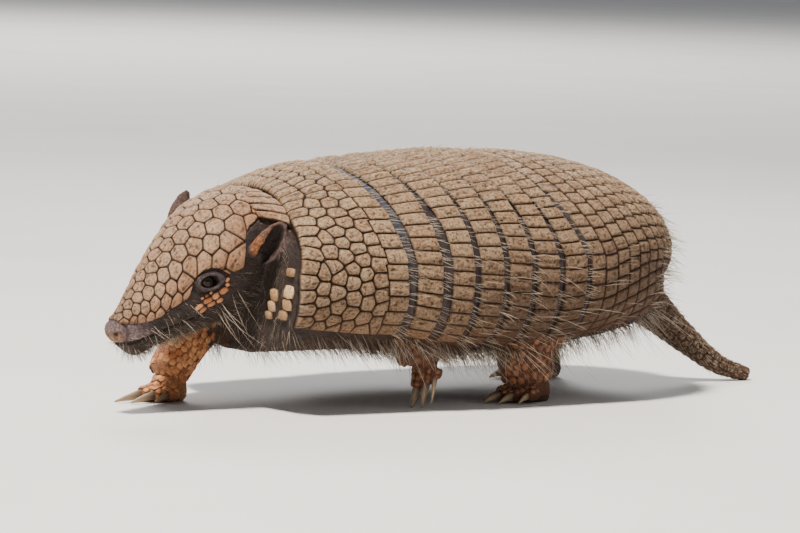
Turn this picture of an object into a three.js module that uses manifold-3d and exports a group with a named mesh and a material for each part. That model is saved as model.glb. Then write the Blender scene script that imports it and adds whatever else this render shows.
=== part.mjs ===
// A walking six-banded armadillo at life size, as a still model of flesh and shell.
// Millimetres, +Z up, head towards -X, left side towards -Y.
// The origin is on the floor, under the middle of the bounding box.
import * as THREE from "three";
import { mergeVertices } from "three/addons/utils/BufferGeometryUtils.js";
import Module from "manifold-3d";

const wasm = await Module();
wasm.setup();
const { degToRad, lerp, clamp, smoothstep } = THREE.MathUtils;
const vec = (x, y, z) => new THREE.Vector3(x, y, z);

// ---------------------------------------------------------------- driving dimensions
const GAP = 0.3; // clearance between pieces that meet

const CENTRE_X = 5.56; // moves the finished animal so that the origin is under its middle
const STANCE = { dip: degToRad(2.2), lift: -2.3, forward: 1 }; // the back slopes down to the shoulders

const SHELL = {
  thickness: 5,
  bands: 6,
  lipDrop: 1.8, // the front of each band lies this much lower than its free rear edge
  groove: 4.5, // bare skin between two bands, along the flank
  firstGroove: 7, // and behind the shoulder shield
  frontMid: -147, // where the shoulder shield starts on the back
  frontSide: -163, // and on the flank
  firstMid: -101, // first groove on the back
  firstSide: -86.5, // and on the flank
  pitchMid: 29.5, // length of a band on the back, getting shorter towards the tail
  pitchLoss: 1.65,
  pitchSide: 22.6, // length of a band on the flank
  topZ: 167.5,
  topSag: 0.25,
  frontTopZ: 152,
  waistZ: 99, // height of the widest line
  halfWidth: 101,
  frontHalfWidth: 83,
  tailHalfWidth: 30,
  rumpX: -20, // the rump's outline is part of a squarish ellipse about this point
  rumpZ: 82,
  rumpLength: 187,
  rumpRound: 0.76,
  rumpSide: 104, // how far the flank runs on behind the last groove
  rumpDrop: 24,
  roundTop: 0.95, // superellipse powers of a cross-section
  roundBelow: 0.7,
};
const HEM = { frontZ: 66, shoulderZ: 56, waistZ: 45, hipZ: 42, tailZ: 66 }; // lower edge of the shell
const BELLY = { chestZ: 45, middleZ: 33, rumpZ: 44 };

const HEAD = {
  nose: vec(-267.5, -20, 66),
  pitch: degToRad(28),
  yaw: degToRad(10.5),
  length: 132,
  shield: 3, // thickness of the head shield
  proud: 0.7, // how far it stands out of the skin
  mouth: 62, // from the nose to the corner of the mouth
};
const EYE = { radius: 5, back: 68.5, out: 21.3, up: -4.5 };
const EAR = { length: 31, halfWidth: 9.4, thickness: 1.8 };
const EARS = {
  left: { root: vec(102, 36.5, -6), tip: vec(117, 54, 10) },
  right: { root: vec(108, 34.5, 0), tip: vec(131, 41, 21) }, // pricked a little further back
};
const NUCHAL = { thickness: 2.6, from: 0.1, to: 0.9, reach: degToRad(54), rise: 6.5 };

const TAIL = {
  path: [
    vec(140, 0, 82),
    vec(164, -2, 64),
    vec(184, -6, 47),
    vec(206, -11, 29),
    vec(230, -15, 12.5),
    vec(255, -19, 3.9),
  ],
  radii: [19, 17.5, 13.2, 9.8, 7.2, 5.2],
};

// Digits from the inner to the outer one: place across the foot, angle, length, thickness and claw.
const FORE_DIGITS = {
  across: [-1, -0.55, 0, 0.5, 0.95],
  angle: [-16, -7, 0, 8, 20],
  length: [8, 12, 14, 11, 7],
  radius: [4.2, 5, 5.4, 5, 4.4],
  claw: [12, 18, 19, 16, 12],
};
const HIND_DIGITS = {
  across: [-1, -0.5, 0, 0.5, 1],
  angle: [-14, -6, 0, 6, 16],
  length: [8, 14, 16, 14, 9],
  radius: [4.4, 5.2, 5.4, 5.2, 4.6],
  claw: [9, 12, 13, 12, 10],
};

// ---------------------------------------------------------------- mesh helpers
// A three.js geometry with every vertex moved by place(position, uv).
function shaped(geometry, place) {
  const points = geometry.getAttribute("position");
  const uvs = geometry.getAttribute("uv");
  const p = new THREE.Vector3();
  const uv = new THREE.Vector2();
  for (let i = 0; i < points.count; i++) {
    place(p.fromBufferAttribute(points, i), uv.fromBufferAttribute(uvs, i));
    points.setXYZ(i, p.x, p.y, p.z);
  }
  return geometry;
}

// A closed geometry as a solid for cutting and joining.
function solid(geometry) {
  const bare = geometry.clone();
  for (const name of ["normal", "uv"]) bare.deleteAttribute(name);
  const merged = mergeVertices(bare, 1e-3);
  const faces = [];
  const index = merged.index.array;
  for (let i = 0; i < index.length; i += 3) {
    const [a, b, c] = index.slice(i, i + 3);
    if (a !== b && b !== c && c !== a) faces.push(a, b, c);
  }
  const build = (order) =>
    new wasm.Manifold(
      new wasm.Mesh({
        numProp: 3,
        vertProperties: merged.attributes.position.array,
        triVerts: Uint32Array.from(order),
      }),
    );
  const made = build(faces);
  return made.volume() > 0 ? made : build(faces.slice().reverse());
}

// The biggest of the pieces that cutting has left.
const largest = (made) => made.decompose().sort((a, b) => b.volume() - a.volume())[0];

function geometryOf(made) {
  const mesh = made.getMesh();
  const points = new Float32Array(mesh.numVert * 3);
  for (let i = 0; i < mesh.numVert; i++) {
    points.set(mesh.vertProperties.subarray(i * mesh.numProp, i * mesh.numProp + 3), i * 3);
  }
  const geometry = new THREE.BufferGeometry();
  geometry.setAttribute("position", new THREE.BufferAttribute(points, 3));
  geometry.setIndex(new THREE.BufferAttribute(mesh.triVerts, 1));
  const flat = geometry.toNonIndexed();
  flat.computeVertexNormals();
  return flat;
}

// A closed skin through rings: ring(t, angle) gives a point, t runs from 0 to 1 along the body.
function loft(along, around, ring) {
  const geometry = new THREE.SphereGeometry(1, around, along + 2);
  const centre = (t) => {
    const sum = new THREE.Vector3();
    for (let i = 0; i < around; i++) sum.add(ring(t, (i / around) * 2 * Math.PI));
    return sum.divideScalar(around);
  };
  return solid(
    shaped(geometry, (p, uv) => {
      const step = Math.round(uv.y * (along + 2));
      const t = clamp((step - 1) / along, 0, 1);
      const turn = (Math.round(uv.x * around) % around) / around;
      const pole = step === 0 || step === along + 2;
      p.copy(pole ? centre(t) : ring(t, turn * 2 * Math.PI));
    }),
  );
}

// A curved plate: place(a, b, c), with a and b from 0 to 1 over it and c from 0, inside, to 1, outside.
function plate(steps, place) {
  const geometry = new THREE.BoxGeometry(1, 1, 1, steps[0], steps[1], 1);
  return solid(shaped(geometry, (p) => p.copy(place(p.x + 0.5, p.y + 0.5, p.z + 0.5))));
}

// A limb or tail along a smooth path with an oval section:
// across is its half width sideways, deep the other way.
function limb(path, across, deep, along, around, grow = 0) {
  const curve = new THREE.CatmullRomCurve3(path);
  const at = (list, t) => track(list.map((v, i) => [i / (list.length - 1), v]), t) + grow;
  return loft(along, around, (t, angle) => {
    const forward = curve.getTangent(t);
    const side = vec(0, 1, 0).addScaledVector(forward, -forward.y).normalize();
    const other = new THREE.Vector3().crossVectors(forward, side);
    return curve
      .getPoint(t)
      .addScaledVector(side, at(across, t) * Math.cos(angle))
      .addScaledVector(other, at(deep, t) * Math.sin(angle));
  });
}

const round = (value, power) => Math.sign(value) * Math.abs(value) ** power;

// A smooth curve through [position, value] pairs, level beyond its ends.
function track(pairs, at) {
  const last = pairs.length - 1;
  if (at <= pairs[0][0]) return pairs[0][1];
  if (at >= pairs[last][0]) return pairs[last][1];
  const i = pairs.findIndex((pair) => at < pair[0]) - 1;
  const [a, va] = pairs[i];
  const [b, vb] = pairs[i + 1];
  const before = pairs[i - 1] ?? [2 * a - b, 2 * va - vb];
  const after = pairs[i + 2] ?? [2 * b - a, 2 * vb - va];
  const h = b - a;
  const leaving = ((vb - before[1]) / (b - before[0])) * h;
  const arriving = ((after[1] - va) / (after[0] - a)) * h;
  const t = (at - a) / h;
  const s = 1 - t;
  return va * s * s * (1 + 2 * t) + vb * t * t * (1 + 2 * s) + leaving * t * s * s - arriving * t * t * s;
}

// ---------------------------------------------------------------- the body's outline
// Body points are drawn with the back level, then set down in the stance.
function stance(p) {
  const { dip, lift, forward } = STANCE;
  return p.set(
    p.x * Math.cos(dip) - p.z * Math.sin(dip) + forward,
    p.y,
    p.z * Math.cos(dip) + p.x * Math.sin(dip) + lift,
  );
}

// s counts along the shell: 0 is its front edge, 1 to 7 the grooves round the bands,
// 10 its edge over the tail.
const LAST = SHELL.bands + 1;
const END = LAST + 3;
const rump = (s) => clamp((s - LAST) / (END - LAST), 0, 1);
const backLevel = (s) => SHELL.topZ - SHELL.topSag * (s - 5) ** 2;
const bandX = (s) => SHELL.firstMid + SHELL.pitchMid * (s - 1) - SHELL.pitchLoss * (s - 1) ** 2;
const rumpStart = Math.asin(((bandX(LAST) - SHELL.rumpX) / SHELL.rumpLength) ** (1 / SHELL.rumpRound));
const rumpTurn = (s) => lerp(rumpStart, Math.PI / 2, rump(s));

function backX(s) {
  if (s <= 1) return lerp(SHELL.frontMid, SHELL.firstMid, s);
  if (s <= LAST) return bandX(s);
  return SHELL.rumpX + SHELL.rumpLength * round(Math.sin(rumpTurn(s)), SHELL.rumpRound);
}

function backZ(s) {
  if (s <= 1) return lerp(SHELL.frontTopZ, backLevel(1), Math.sin((s * Math.PI) / 2));
  if (s <= LAST) return backLevel(s);
  const height = (backLevel(LAST) - SHELL.rumpZ) / round(Math.cos(rumpStart), SHELL.rumpRound);
  return SHELL.rumpZ + height * round(Math.cos(rumpTurn(s)), SHELL.rumpRound);
}

function sideX(s) {
  if (s <= 1) return lerp(SHELL.frontSide, SHELL.firstSide, s);
  return SHELL.firstSide + SHELL.pitchSide * (Math.min(s, LAST) - 1) + SHELL.rumpSide * rump(s);
}

const sideZ = (s) => SHELL.waistZ - SHELL.rumpDrop * rump(s) ** 2;

function halfWidth(s) {
  const { frontHalfWidth, halfWidth: full, tailHalfWidth } = SHELL;
  if (s <= 4) return lerp(frontHalfWidth, full, Math.sin((Math.max(s, 0) / 4) * (Math.PI / 2)) ** 0.75);
  return tailHalfWidth + (full - tailHalfWidth) * Math.sqrt(1 - rump(s) ** 2.4);
}

const hemZ = (s) =>
  track(
    [[0, HEM.frontZ], [1, HEM.shoulderZ], [4, HEM.waistZ], [LAST, HEM.hipZ], [9, 56], [END, HEM.tailZ]],
    s,
  );
const bellyZ = (s) =>
  track([[0, BELLY.chestZ], [4, BELLY.middleZ], [8, BELLY.middleZ + 2], [END, BELLY.rumpZ]], s);

// A point at s and angle, counted from the back's middle line towards the right side,
// depth under the shell's outside.
function bodyPoint(s, angle, depth, grow = 0) {
  const place = vec(sideX(s), 0, sideZ(s));
  const c = Math.cos(angle);
  const w = Math.max(halfWidth(s) - depth, 4);
  if (c >= 0) {
    const up = vec(backX(s), 0, backZ(s)).sub(place);
    const height = Math.max(up.length() - depth, 4);
    place.addScaledVector(up.normalize(), height * round(c, SHELL.roundTop));
    place.y = w * round(Math.sin(angle), SHELL.roundTop);
  } else {
    place.z += (place.z - bellyZ(s) + grow) * round(c, SHELL.roundBelow);
    place.y = w * round(Math.sin(angle), SHELL.roundBelow);
  }
  return stance(place);
}

function hemAngle(s) {
  const share = clamp((sideZ(s) - hemZ(s)) / (sideZ(s) - bellyZ(s)), 0.02, 0.98);
  return Math.PI / 2 + Math.asin(share ** (1 / SHELL.roundBelow));
}

// ---------------------------------------------------------------- shell pieces and trunk
const ACROSS = 16; // facets of a shell piece from one lower edge to the other
const HIP_STEPS = 6;
const share = (groove) => groove / SHELL.pitchSide;
const HIP_START = LAST + share(SHELL.groove) * 0.7;

// With grow the piece is the room it needs: larger by that much all round.
function shellPiece(from, to, steps, lip, grow = 0) {
  return plate(steps, (a, b, c) => {
    const s = lerp(from, to, a) + grow * 0.03 * (2 * a - 1);
    const angle = lerp(-1, 1, b) * (hemAngle(s) + grow * 0.012);
    const drop = lip * (1 - smoothstep(a, 0, 0.8));
    const inside = SHELL.thickness + grow;
    return bodyPoint(s, angle, grow > 0 ? (1 - c) * inside - c : drop + (1 - c) * (inside - drop));
  });
}

const shoulderShield = shellPiece(0, 1, [4, ACROSS], 0);
const bandStart = (i) => i + share(i === 1 ? SHELL.firstGroove : SHELL.groove);
const bandNumbers = Array.from({ length: SHELL.bands }, (_, i) => i + 1);
const bands = bandNumbers.map((i) => shellPiece(bandStart(i), i + 1, [2, ACROSS], SHELL.lipDrop));
const hipShield = shellPiece(HIP_START, END, [HIP_STEPS, ACROSS], SHELL.lipDrop);
const hipRoom = shellPiece(HIP_START, END, [HIP_STEPS, ACROSS], 0, GAP);
const shellRoom = bandNumbers
  .map((i) => shellPiece(bandStart(i), i + 1, [2, ACROSS], 0, GAP))
  .concat(hipRoom, shellPiece(0, 1, [4, ACROSS], 0, GAP))
  .reduce((all, piece) => all.add(piece));

// The trunk's corners lie right under those of the shell, so the two stay apart by the same gap everywhere.
const TRUNK_STATIONS = [0, 0.25, 0.5, 0.75, 1, 2, 3, 4, 5, 6, LAST];
for (let i = 0; i <= HIP_STEPS; i++) TRUNK_STATIONS.push(lerp(HIP_START, END, i / HIP_STEPS));
const BELOW = 4; // facets across the belly
const trunkSolid = (grow) =>
  loft(TRUNK_STATIONS.length - 1, ACROSS + BELOW, (t, angle) => {
    const s = TRUNK_STATIONS[Math.round(t * (TRUNK_STATIONS.length - 1))] + grow * 0.05 * (2 * t - 1);
    const corner = Math.round((angle / (2 * Math.PI)) * (ACROSS + BELOW));
    const hem = hemAngle(s);
    const under = (corner - ACROSS) / BELOW;
    const turn = under <= 0 ? lerp(-hem, hem, corner / ACROSS) : hem + (2 * Math.PI - 2 * hem) * under;
    return bodyPoint(s, turn, SHELL.thickness + GAP * 1.5 - grow, grow);
  });
const trunk = trunkSolid(0);
const trunkRoom = trunkSolid(GAP);

// ---------------------------------------------------------------- head, in its own frame
// back is the distance behind the nose along the head, out its distance to the right, up above the nose.
const cp = Math.cos(HEAD.pitch);
const sp = Math.sin(HEAD.pitch);
const headForward = vec(-Math.cos(HEAD.yaw) * cp, -Math.sin(HEAD.yaw) * cp, -sp);
const headUp = vec(-Math.cos(HEAD.yaw) * sp, -Math.sin(HEAD.yaw) * sp, cp);
const headRight = vec(-Math.sin(HEAD.yaw), Math.cos(HEAD.yaw), 0);

function headSpot(back, out, up) {
  const p = HEAD.nose.clone().addScaledVector(headForward, -back);
  return stance(p.addScaledVector(headRight, out).addScaledVector(headUp, up));
}

const headWidth = (back) =>
  track(
    [
      [0, 4.6],
      [3, 7.4],
      [9, 8.2],
      [24, 12.5],
      [46, 19],
      [60, 23],
      [76, 28.5],
      [92, 35],
      [110, 38.5],
      [132, 38],
    ],
    back,
  );
const headTop = (back) =>
  track(
    [
      [0, 3.6],
      [5, 5.6],
      [12, 6.6],
      [28, 12.2],
      [42, 18],
      [58, 23.6],
      [76, 28],
      [94, 30.2],
      [112, 29.6],
      [134, 25.5],
    ],
    back,
  );
const headBottom = (back) =>
  track([[0, -8], [4, -15], [9, -24], [24, -27.5], [40, -31], [64, -39], [90, -44], [132, -46]], back);

// A point of the head's outside behind the nose, at an angle from its top line.
function headPoint(back, angle, depth) {
  const c = Math.cos(angle);
  const middle = lerp(headBottom(back), headTop(back), 0.5);
  const reach = c >= 0 ? headTop(back) - middle : middle - headBottom(back);
  const up = middle + Math.max(reach - depth, 1.5) * round(c, c >= 0 ? 0.88 : 0.95);
  const out = Math.max(headWidth(back) - depth, 1.5) * round(Math.sin(angle), 0.9);
  return headSpot(back, out, up);
}

// Height of the head shield's lower edge: it lifts over the eye and again in front of the ear.
const shieldEdge = (back) =>
  track(
    [
      [6, 3],
      [14, -2],
      [23, -6.3],
      [44, -9],
      [53, -5.5],
      [61, 2],
      [69, 4],
      [77, 0.5],
      [83, -8],
      [89, -8.5],
      [95, 0],
      [104, 11],
      [116, 13],
    ],
    back,
  );
function shieldAngle(back) {
  const middle = lerp(headBottom(back), headTop(back), 0.5);
  const share = clamp((shieldEdge(back) - middle) / (headTop(back) - middle), 0, 0.98);
  return Math.acos(share ** (1 / 0.88));
}

const shieldSolid = (grow) =>
  plate([11, 8], (a, b, c) => {
    const side = lerp(-1, 1, b);
    const back = lerp(6.5 - grow, HEAD.length - 15 * side * side + grow, a);
    const angle = side * (shieldAngle(back) + (grow * 1.8) / headWidth(back));
    return headPoint(back, angle, c > 0.5 ? -HEAD.proud - grow * 8 : HEAD.shield + grow * 3);
  });
const headShield = shieldSolid(0);
const shieldRoom = shieldSolid(GAP);

// The back of the head stands upright, so it ends sooner below than above.
const headRear = (angle) => HEAD.length - 8 - 27 * (0.5 - 0.5 * Math.cos(angle));
const headSolid = (grow) =>
  loft(12, 14, (t, angle) => headPoint(lerp(4.5 - grow, headRear(angle) + grow, t ** 1.35), angle, -grow));

// The mouth is a thin slit, open a little at the front.
const mouth = plate([4, 1], (a, b, c) => {
  const back = lerp(-6, HEAD.mouth, a);
  const middle = track([[-6, -8], [2, -10], [15, -14.5], [35, -18], [HEAD.mouth, -24]], back);
  const half = lerp(2, 0.3, clamp(back / HEAD.mouth, 0, 1));
  return headSpot(back, lerp(-45, 45, b), middle + lerp(-half, half, c));
});

function eyeAt(side, radius) {
  const ball = new THREE.SphereGeometry(radius, 8, 6);
  const { x, y, z } = headSpot(EYE.back, side * EYE.out, EYE.up);
  return solid(ball.translate(x, y, z));
}
const SIDES = { left: -1, right: 1 };
const eyes = Object.entries(SIDES).map(([name, side]) => ["eye_" + name, eyeAt(side, EYE.radius)]);

const headRoom = headSolid(GAP);
let head = headSolid(0).subtract(shieldRoom).subtract(mouth).subtract(trunkRoom);
for (const side of Object.values(SIDES)) head = head.subtract(eyeAt(side, EYE.radius + GAP));

// ---------------------------------------------------------------- ears
// Upright scoops that open forwards and outwards.
function ear(side, { root: foot, tip }) {
  const root = headSpot(foot.x, side * foot.y, foot.z);
  const along = headSpot(tip.x, side * tip.y, tip.z).sub(root).normalize();
  const facing = headSpot(-60, side * 70, 20).sub(headSpot(0, 0, 0)).normalize();
  facing.addScaledVector(along, -facing.dot(along)).normalize();
  const wide = new THREE.Vector3().crossVectors(along, facing);
  return plate([4, 6], (a, b, c) => {
    const length = lerp(0.06, 1, a);
    const bulge = Math.sqrt(Math.sin(Math.PI * clamp(length * 0.86 + 0.1, 0, 1)));
    const radius = EAR.halfWidth * bulge * (1.02 - 0.1 * a);
    const turn = lerp(-1, 1, b) * lerp(2.1, 1.2, length);
    const r = Math.max(radius - (1 - c) * EAR.thickness, 1);
    return root
      .clone()
      .addScaledVector(along, EAR.length * length - (1 - c) * 1.2 * a)
      .addScaledVector(wide, r * Math.sin(turn))
      .addScaledVector(facing, radius * 0.9 - r * Math.cos(turn));
  });
}
const ears = Object.entries(SIDES).map(([name, side]) => ["ear_" + name, ear(side, EARS[name])]);

// ---------------------------------------------------------------- neck, and the band of plates across it
function neckPoint(t, angle, grow) {
  const start = headPoint(headRear(angle) - 1, angle, 3 - grow);
  const end = bodyPoint(0.02, angle, SHELL.thickness + 7 - grow, grow);
  const bulge = Math.sin(Math.PI * t) * 2.5;
  return start.lerp(end, t).add(vec((t - 1) * grow, bulge * Math.sin(angle), bulge * Math.cos(angle)));
}
const nuchalSolid = (grow) =>
  plate([2, 8], (a, b, c) => {
    const t = lerp(NUCHAL.from - grow * 0.08, NUCHAL.to + grow * 0.08, a);
    const angle = lerp(-1, 1, b) * (NUCHAL.reach + grow * 0.12);
    const top = 1.4 + NUCHAL.rise * Math.max(t, 0) ** 1.2;
    return neckPoint(t, angle, c > 0.5 ? top + grow * 8 : 1.4 - NUCHAL.thickness - grow * 2);
  });
const neckSolid = (grow) =>
  loft(3, 16, (t, angle) => neckPoint(lerp(-0.05 - grow * 0.1, 1.05 + grow * 0.1, t), angle, grow));
const nuchalBand = largest(nuchalSolid(0).subtract(shieldRoom).subtract(shellRoom).subtract(trunkRoom));
const nuchalRoom = nuchalSolid(GAP);
const neckRoom = neckSolid(GAP * 2.5);
const neck = largest(
  neckSolid(0)
    .subtract(headRoom)
    .subtract(trunkRoom)
    .subtract(nuchalRoom)
    .subtract(shieldRoom)
    .subtract(shellRoom),
);
for (const pair of ears) {
  for (const room of [headRoom, shieldRoom, neckRoom, nuchalRoom, trunkRoom]) {
    pair[1] = largest(pair[1].subtract(room));
  }
}

// ---------------------------------------------------------------- tail
const floor = solid(new THREE.BoxGeometry(700, 300, 60).translate(0, 0, -30));
const tail = limb(TAIL.path, TAIL.radii, TAIL.radii, 8, 9)
  .subtract(trunkRoom)
  .subtract(hipRoom)
  .subtract(floor);

// ---------------------------------------------------------------- legs
// A foot: a sole from heel to ball, five digits and the claws they carry. Digits point towards heading,
// out is +1 or -1, and plant is the lowest height of the middle of a claw's tip.
function paw({ heel, ball, width, height, digits, heading, dip, out, plant = 1.2 }) {
  const forward = vec(-Math.cos(heading), -Math.sin(heading), 0);
  const across = vec(0, 0, 1).cross(forward).multiplyScalar(-out);
  const path = [heel, heel.clone().lerp(ball, 0.5), ball];
  const widths = [width * 0.7, width * 0.85, width * 0.8];
  let flesh = limb(path, widths, [height, height * 0.9, height * 0.75], 3, 8);
  const claws = [];
  for (let i = 0; i < 5; i++) {
    const turn = degToRad(digits.angle[i]);
    const way = forward.clone().multiplyScalar(Math.cos(turn)).addScaledVector(across, Math.sin(turn));
    way.multiplyScalar(Math.cos(dip)).setZ(-Math.sin(dip));
    const start = ball.clone().addScaledVector(across, digits.across[i] * width * 0.72);
    start.addScaledVector(forward, -Math.abs(digits.across[i]) * 6);
    const tip = start.clone().addScaledVector(way, digits.length[i]);
    const r = digits.radius[i];
    const radii = [r, r, r * 0.8];
    flesh = flesh.add(limb([start, start.clone().lerp(tip, 0.6), tip], radii, radii, 2, 6));
    const base = start.clone().addScaledVector(way, digits.length[i] - 3);
    const reach = digits.claw[i] + 3;
    const sink = Math.min(base.z - plant + reach * way.z, 0.16 * reach + 2);
    const horn = (grow) =>
      loft(3, 5, (t, angle) => {
        const thick = lerp(r * 0.62, 0.8, t ** 1.4) + grow;
        const p = base.clone().addScaledVector(way, reach * t + grow * (2 * t - 1));
        p.z -= sink * t * t;
        p.addScaledVector(across, thick * 0.72 * Math.cos(angle));
        const up = vec(0, 0, 1).addScaledVector(way, -way.z).normalize();
        return p.addScaledVector(up, thick * Math.sin(angle));
      });
    claws.push([horn(0).subtract(floor), horn(GAP)]);
  }
  return { flesh, claws };
}

const LEGS = {
  fore_leg_left: {
    path: [vec(-96, -50, 86), vec(-82, -56, 66), vec(-64, -57, 50), vec(-56, -57, 34)],
    across: [20, 17, 14, 12],
    deep: [24, 20, 16.5, 14.5],
    paw: {
      heel: vec(-53, -57, 36),
      ball: vec(-54, -57, 26.5),
      width: 14,
      height: 11.5,
      heading: -0.1,
      dip: 1.35,
      out: -1,
      plant: -0.7,
    },
    digits: FORE_DIGITS,
  },
  fore_leg_right: {
    path: [vec(-114, 46, 84), vec(-143, 42, 64), vec(-171, 36, 44), vec(-194, 32, 17)],
    across: [20, 17, 14, 13],
    deep: [24, 19, 15, 13],
    paw: {
      heel: vec(-185, 32, 11),
      ball: vec(-199, 31, 6.5),
      width: 15,
      height: 12,
      heading: -0.05,
      dip: 0.1,
      out: 1,
    },
    digits: FORE_DIGITS,
  },
  hind_leg_left: {
    path: [vec(66, -46, 84), vec(44, -56, 62), vec(30, -58, 40), vec(32, -57, 15)],
    across: [20, 18, 15.5, 13],
    deep: [30, 27, 22, 18],
    paw: {
      heel: vec(44, -57, 9),
      ball: vec(24, -58, 6.5),
      width: 14.5,
      height: 11,
      heading: 0.05,
      dip: 0.1,
      out: -1,
    },
    digits: HIND_DIGITS,
  },
  hind_leg_right: {
    path: [vec(104, 46, 88), vec(106, 52, 64), vec(116, 52, 42), vec(130, 50, 17)],
    across: [20, 18, 14, 11],
    deep: [30, 25, 17, 12],
    paw: {
      heel: vec(136, 50, 9),
      ball: vec(110, 50, 6.5),
      width: 14.5,
      height: 11,
      heading: -0.05,
      dip: 0.1,
      out: 1,
    },
    digits: HIND_DIGITS,
  },
};

const limbs = [];
for (const [name, leg] of Object.entries(LEGS)) {
  const made = paw({ ...leg.paw, digits: leg.digits });
  const column = limb(leg.path, leg.across, leg.deep, 4, 9);
  let whole = column.add(made.flesh);
  for (const room of [floor, trunkRoom, shellRoom, neckRoom]) whole = whole.subtract(room);
  made.claws.forEach(([claw, room], i) => {
    limbs.push([name.replace("leg", "claw") + "_" + (i + 1), claw]);
    whole = whole.subtract(room);
  });
  limbs.push([name, whole]);
}

// ---------------------------------------------------------------- collect
const parts = [
  ["shoulder_shield", shoulderShield],
  ...bands.map((band, i) => ["band_" + (i + 1), band]),
  ["hip_shield", hipShield],
  ["head_shield", headShield],
  ["nuchal_band", nuchalBand],
  ["trunk", trunk],
  ["neck", neck],
  ["head", head],
  ["tail", tail],
  ...ears,
  ...eyes,
  ...limbs,
];

const LOOKS = [
  [/shield|band/, { name: "shell_plate", color: 0xa9825c, roughness: 0.7 }],
  [/claw/, { name: "claw_horn", color: 0x8d7a62, roughness: 0.45 }],
  [/eye/, { name: "eye_dark", color: 0x14100d, roughness: 0.12 }],
  [/ear|head/, { name: "face_skin", color: 0x6a564d, roughness: 0.75 }],
  [/tail|leg/, { name: "scaly_skin", color: 0x8a5f3f, roughness: 0.75 }],
  [/./, { name: "body_skin", color: 0x574539, roughness: 0.85 }],
];
const materials = LOOKS.map(([match, look]) => [
  match,
  new THREE.MeshStandardMaterial({ ...look, metalness: 0 }),
]);

const armadillo = new THREE.Group();
armadillo.name = "armadillo";
for (const [name, made] of parts) {
  const geometry = geometryOf(made).translate(CENTRE_X, 0, 0);
  const mesh = new THREE.Mesh(geometry, materials.find(([match]) => match.test(name))[1]);
  mesh.name = name;
  armadillo.add(mesh);
}

export default armadillo;
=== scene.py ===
# %% [markdown]
# # A walking six-banded armadillo
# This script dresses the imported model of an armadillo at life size. The solids give its outline: a shell of
# shields and bands over a trunk, an armoured head, four legs and a tail. Here each of them gets what makes
# it an animal: rows of horny plates with grooves between them, one skin over all the flesh, scales, claws
# and bristles. Shapes are worked out in millimetres and put into meshes in metres, in the frame of the
# solids.

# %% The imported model, and the tools used below
import math

import bmesh
import bpy
import numpy as np
from mathutils import Matrix, Vector
from mathutils.bvhtree import BVHTree


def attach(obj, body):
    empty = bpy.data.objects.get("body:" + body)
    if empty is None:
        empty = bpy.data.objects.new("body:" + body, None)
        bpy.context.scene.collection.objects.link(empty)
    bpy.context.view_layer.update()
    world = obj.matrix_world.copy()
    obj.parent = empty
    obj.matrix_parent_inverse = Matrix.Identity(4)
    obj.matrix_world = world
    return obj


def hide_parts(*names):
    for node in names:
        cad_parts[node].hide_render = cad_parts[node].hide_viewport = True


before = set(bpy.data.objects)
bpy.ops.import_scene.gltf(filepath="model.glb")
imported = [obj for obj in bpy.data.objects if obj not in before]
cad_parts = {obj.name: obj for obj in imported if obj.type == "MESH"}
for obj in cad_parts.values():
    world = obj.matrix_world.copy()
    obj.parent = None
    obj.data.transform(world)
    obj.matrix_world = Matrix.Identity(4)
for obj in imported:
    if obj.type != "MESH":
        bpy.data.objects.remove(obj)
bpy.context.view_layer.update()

MM = 0.001
chance = np.random.default_rng(6)

# %% [markdown]
# ## Camera, floor and light
# The animal walks across the view with its head nearer than its tail. The camera stands low and well back,
# with a long lens, as one watches shy animals. The same piece of the world could be had by standing close
# with a short lens, but then the near legs would look too big. The floor is plain and pale. A high lamp in
# front gives the light, two weak ones behind and beside it soften the edges, one lights the floor far
# behind, and a pale surrounding fills the shadows.

# %% Camera
TURN = math.radians(2.2)  # the back slopes down to the shoulders by this much, and the camera leans with it
AROUND = math.radians(35.2)
ABOVE = math.radians(6.2)
DISTANCE = 2.5
FOCUS = Vector((-0.01469, 0, 0.09496))
FRAME_WIDTH = 800
FRAME_HEIGHT = 533
FOCUS_PIXEL = (417, 253)
LENS_PIXELS = 3750
SENSOR = 36


def leaned(x, y, z):
    """A direction, leaned with the camera."""
    return Vector((x * math.cos(TURN) - z * math.sin(TURN), y, z * math.cos(TURN) + x * math.sin(TURN)))


look = leaned(math.sin(AROUND) * math.cos(ABOVE), math.cos(AROUND) * math.cos(ABOVE), -math.sin(ABOVE))
right = leaned(math.cos(AROUND), -math.sin(AROUND), 0)
over = leaned(math.sin(AROUND) * math.sin(ABOVE), math.cos(AROUND) * math.sin(ABOVE), math.cos(ABOVE))
camera_data = bpy.data.cameras.new("camera")
camera_data.sensor_width = SENSOR
camera_data.lens = LENS_PIXELS * SENSOR / FRAME_WIDTH
camera_data.shift_x = (FRAME_WIDTH / 2 - FOCUS_PIXEL[0]) / FRAME_WIDTH
camera_data.shift_y = (FOCUS_PIXEL[1] - FRAME_HEIGHT / 2) / FRAME_WIDTH
camera_data.clip_end = 50
camera = bpy.data.objects.new("camera", camera_data)
bpy.context.scene.collection.objects.link(camera)
columns = [right, over, -look, FOCUS - look * DISTANCE]
camera.matrix_world = Matrix([[column[r] for column in columns] for r in range(3)] + [[0, 0, 0, 1]])
bpy.context.scene.camera = camera
print("camera at", [round(v, 3) for v in camera.matrix_world.translation])

# %% Colours, and a short way to write shader nodes


def rgb(red, green, blue):
    """A colour given in the usual 0 to 255, as the linear values that Blender's sockets take."""
    linear = [c / 255 / 12.92 if c <= 10 else ((c / 255 + 0.055) / 1.055) ** 2.4 for c in (red, green, blue)]
    return tuple(linear) + (1,)


def new_material(name):
    made = bpy.data.materials.new(name)
    made.use_nodes = True
    made.node_tree.nodes.clear()
    return made


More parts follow.
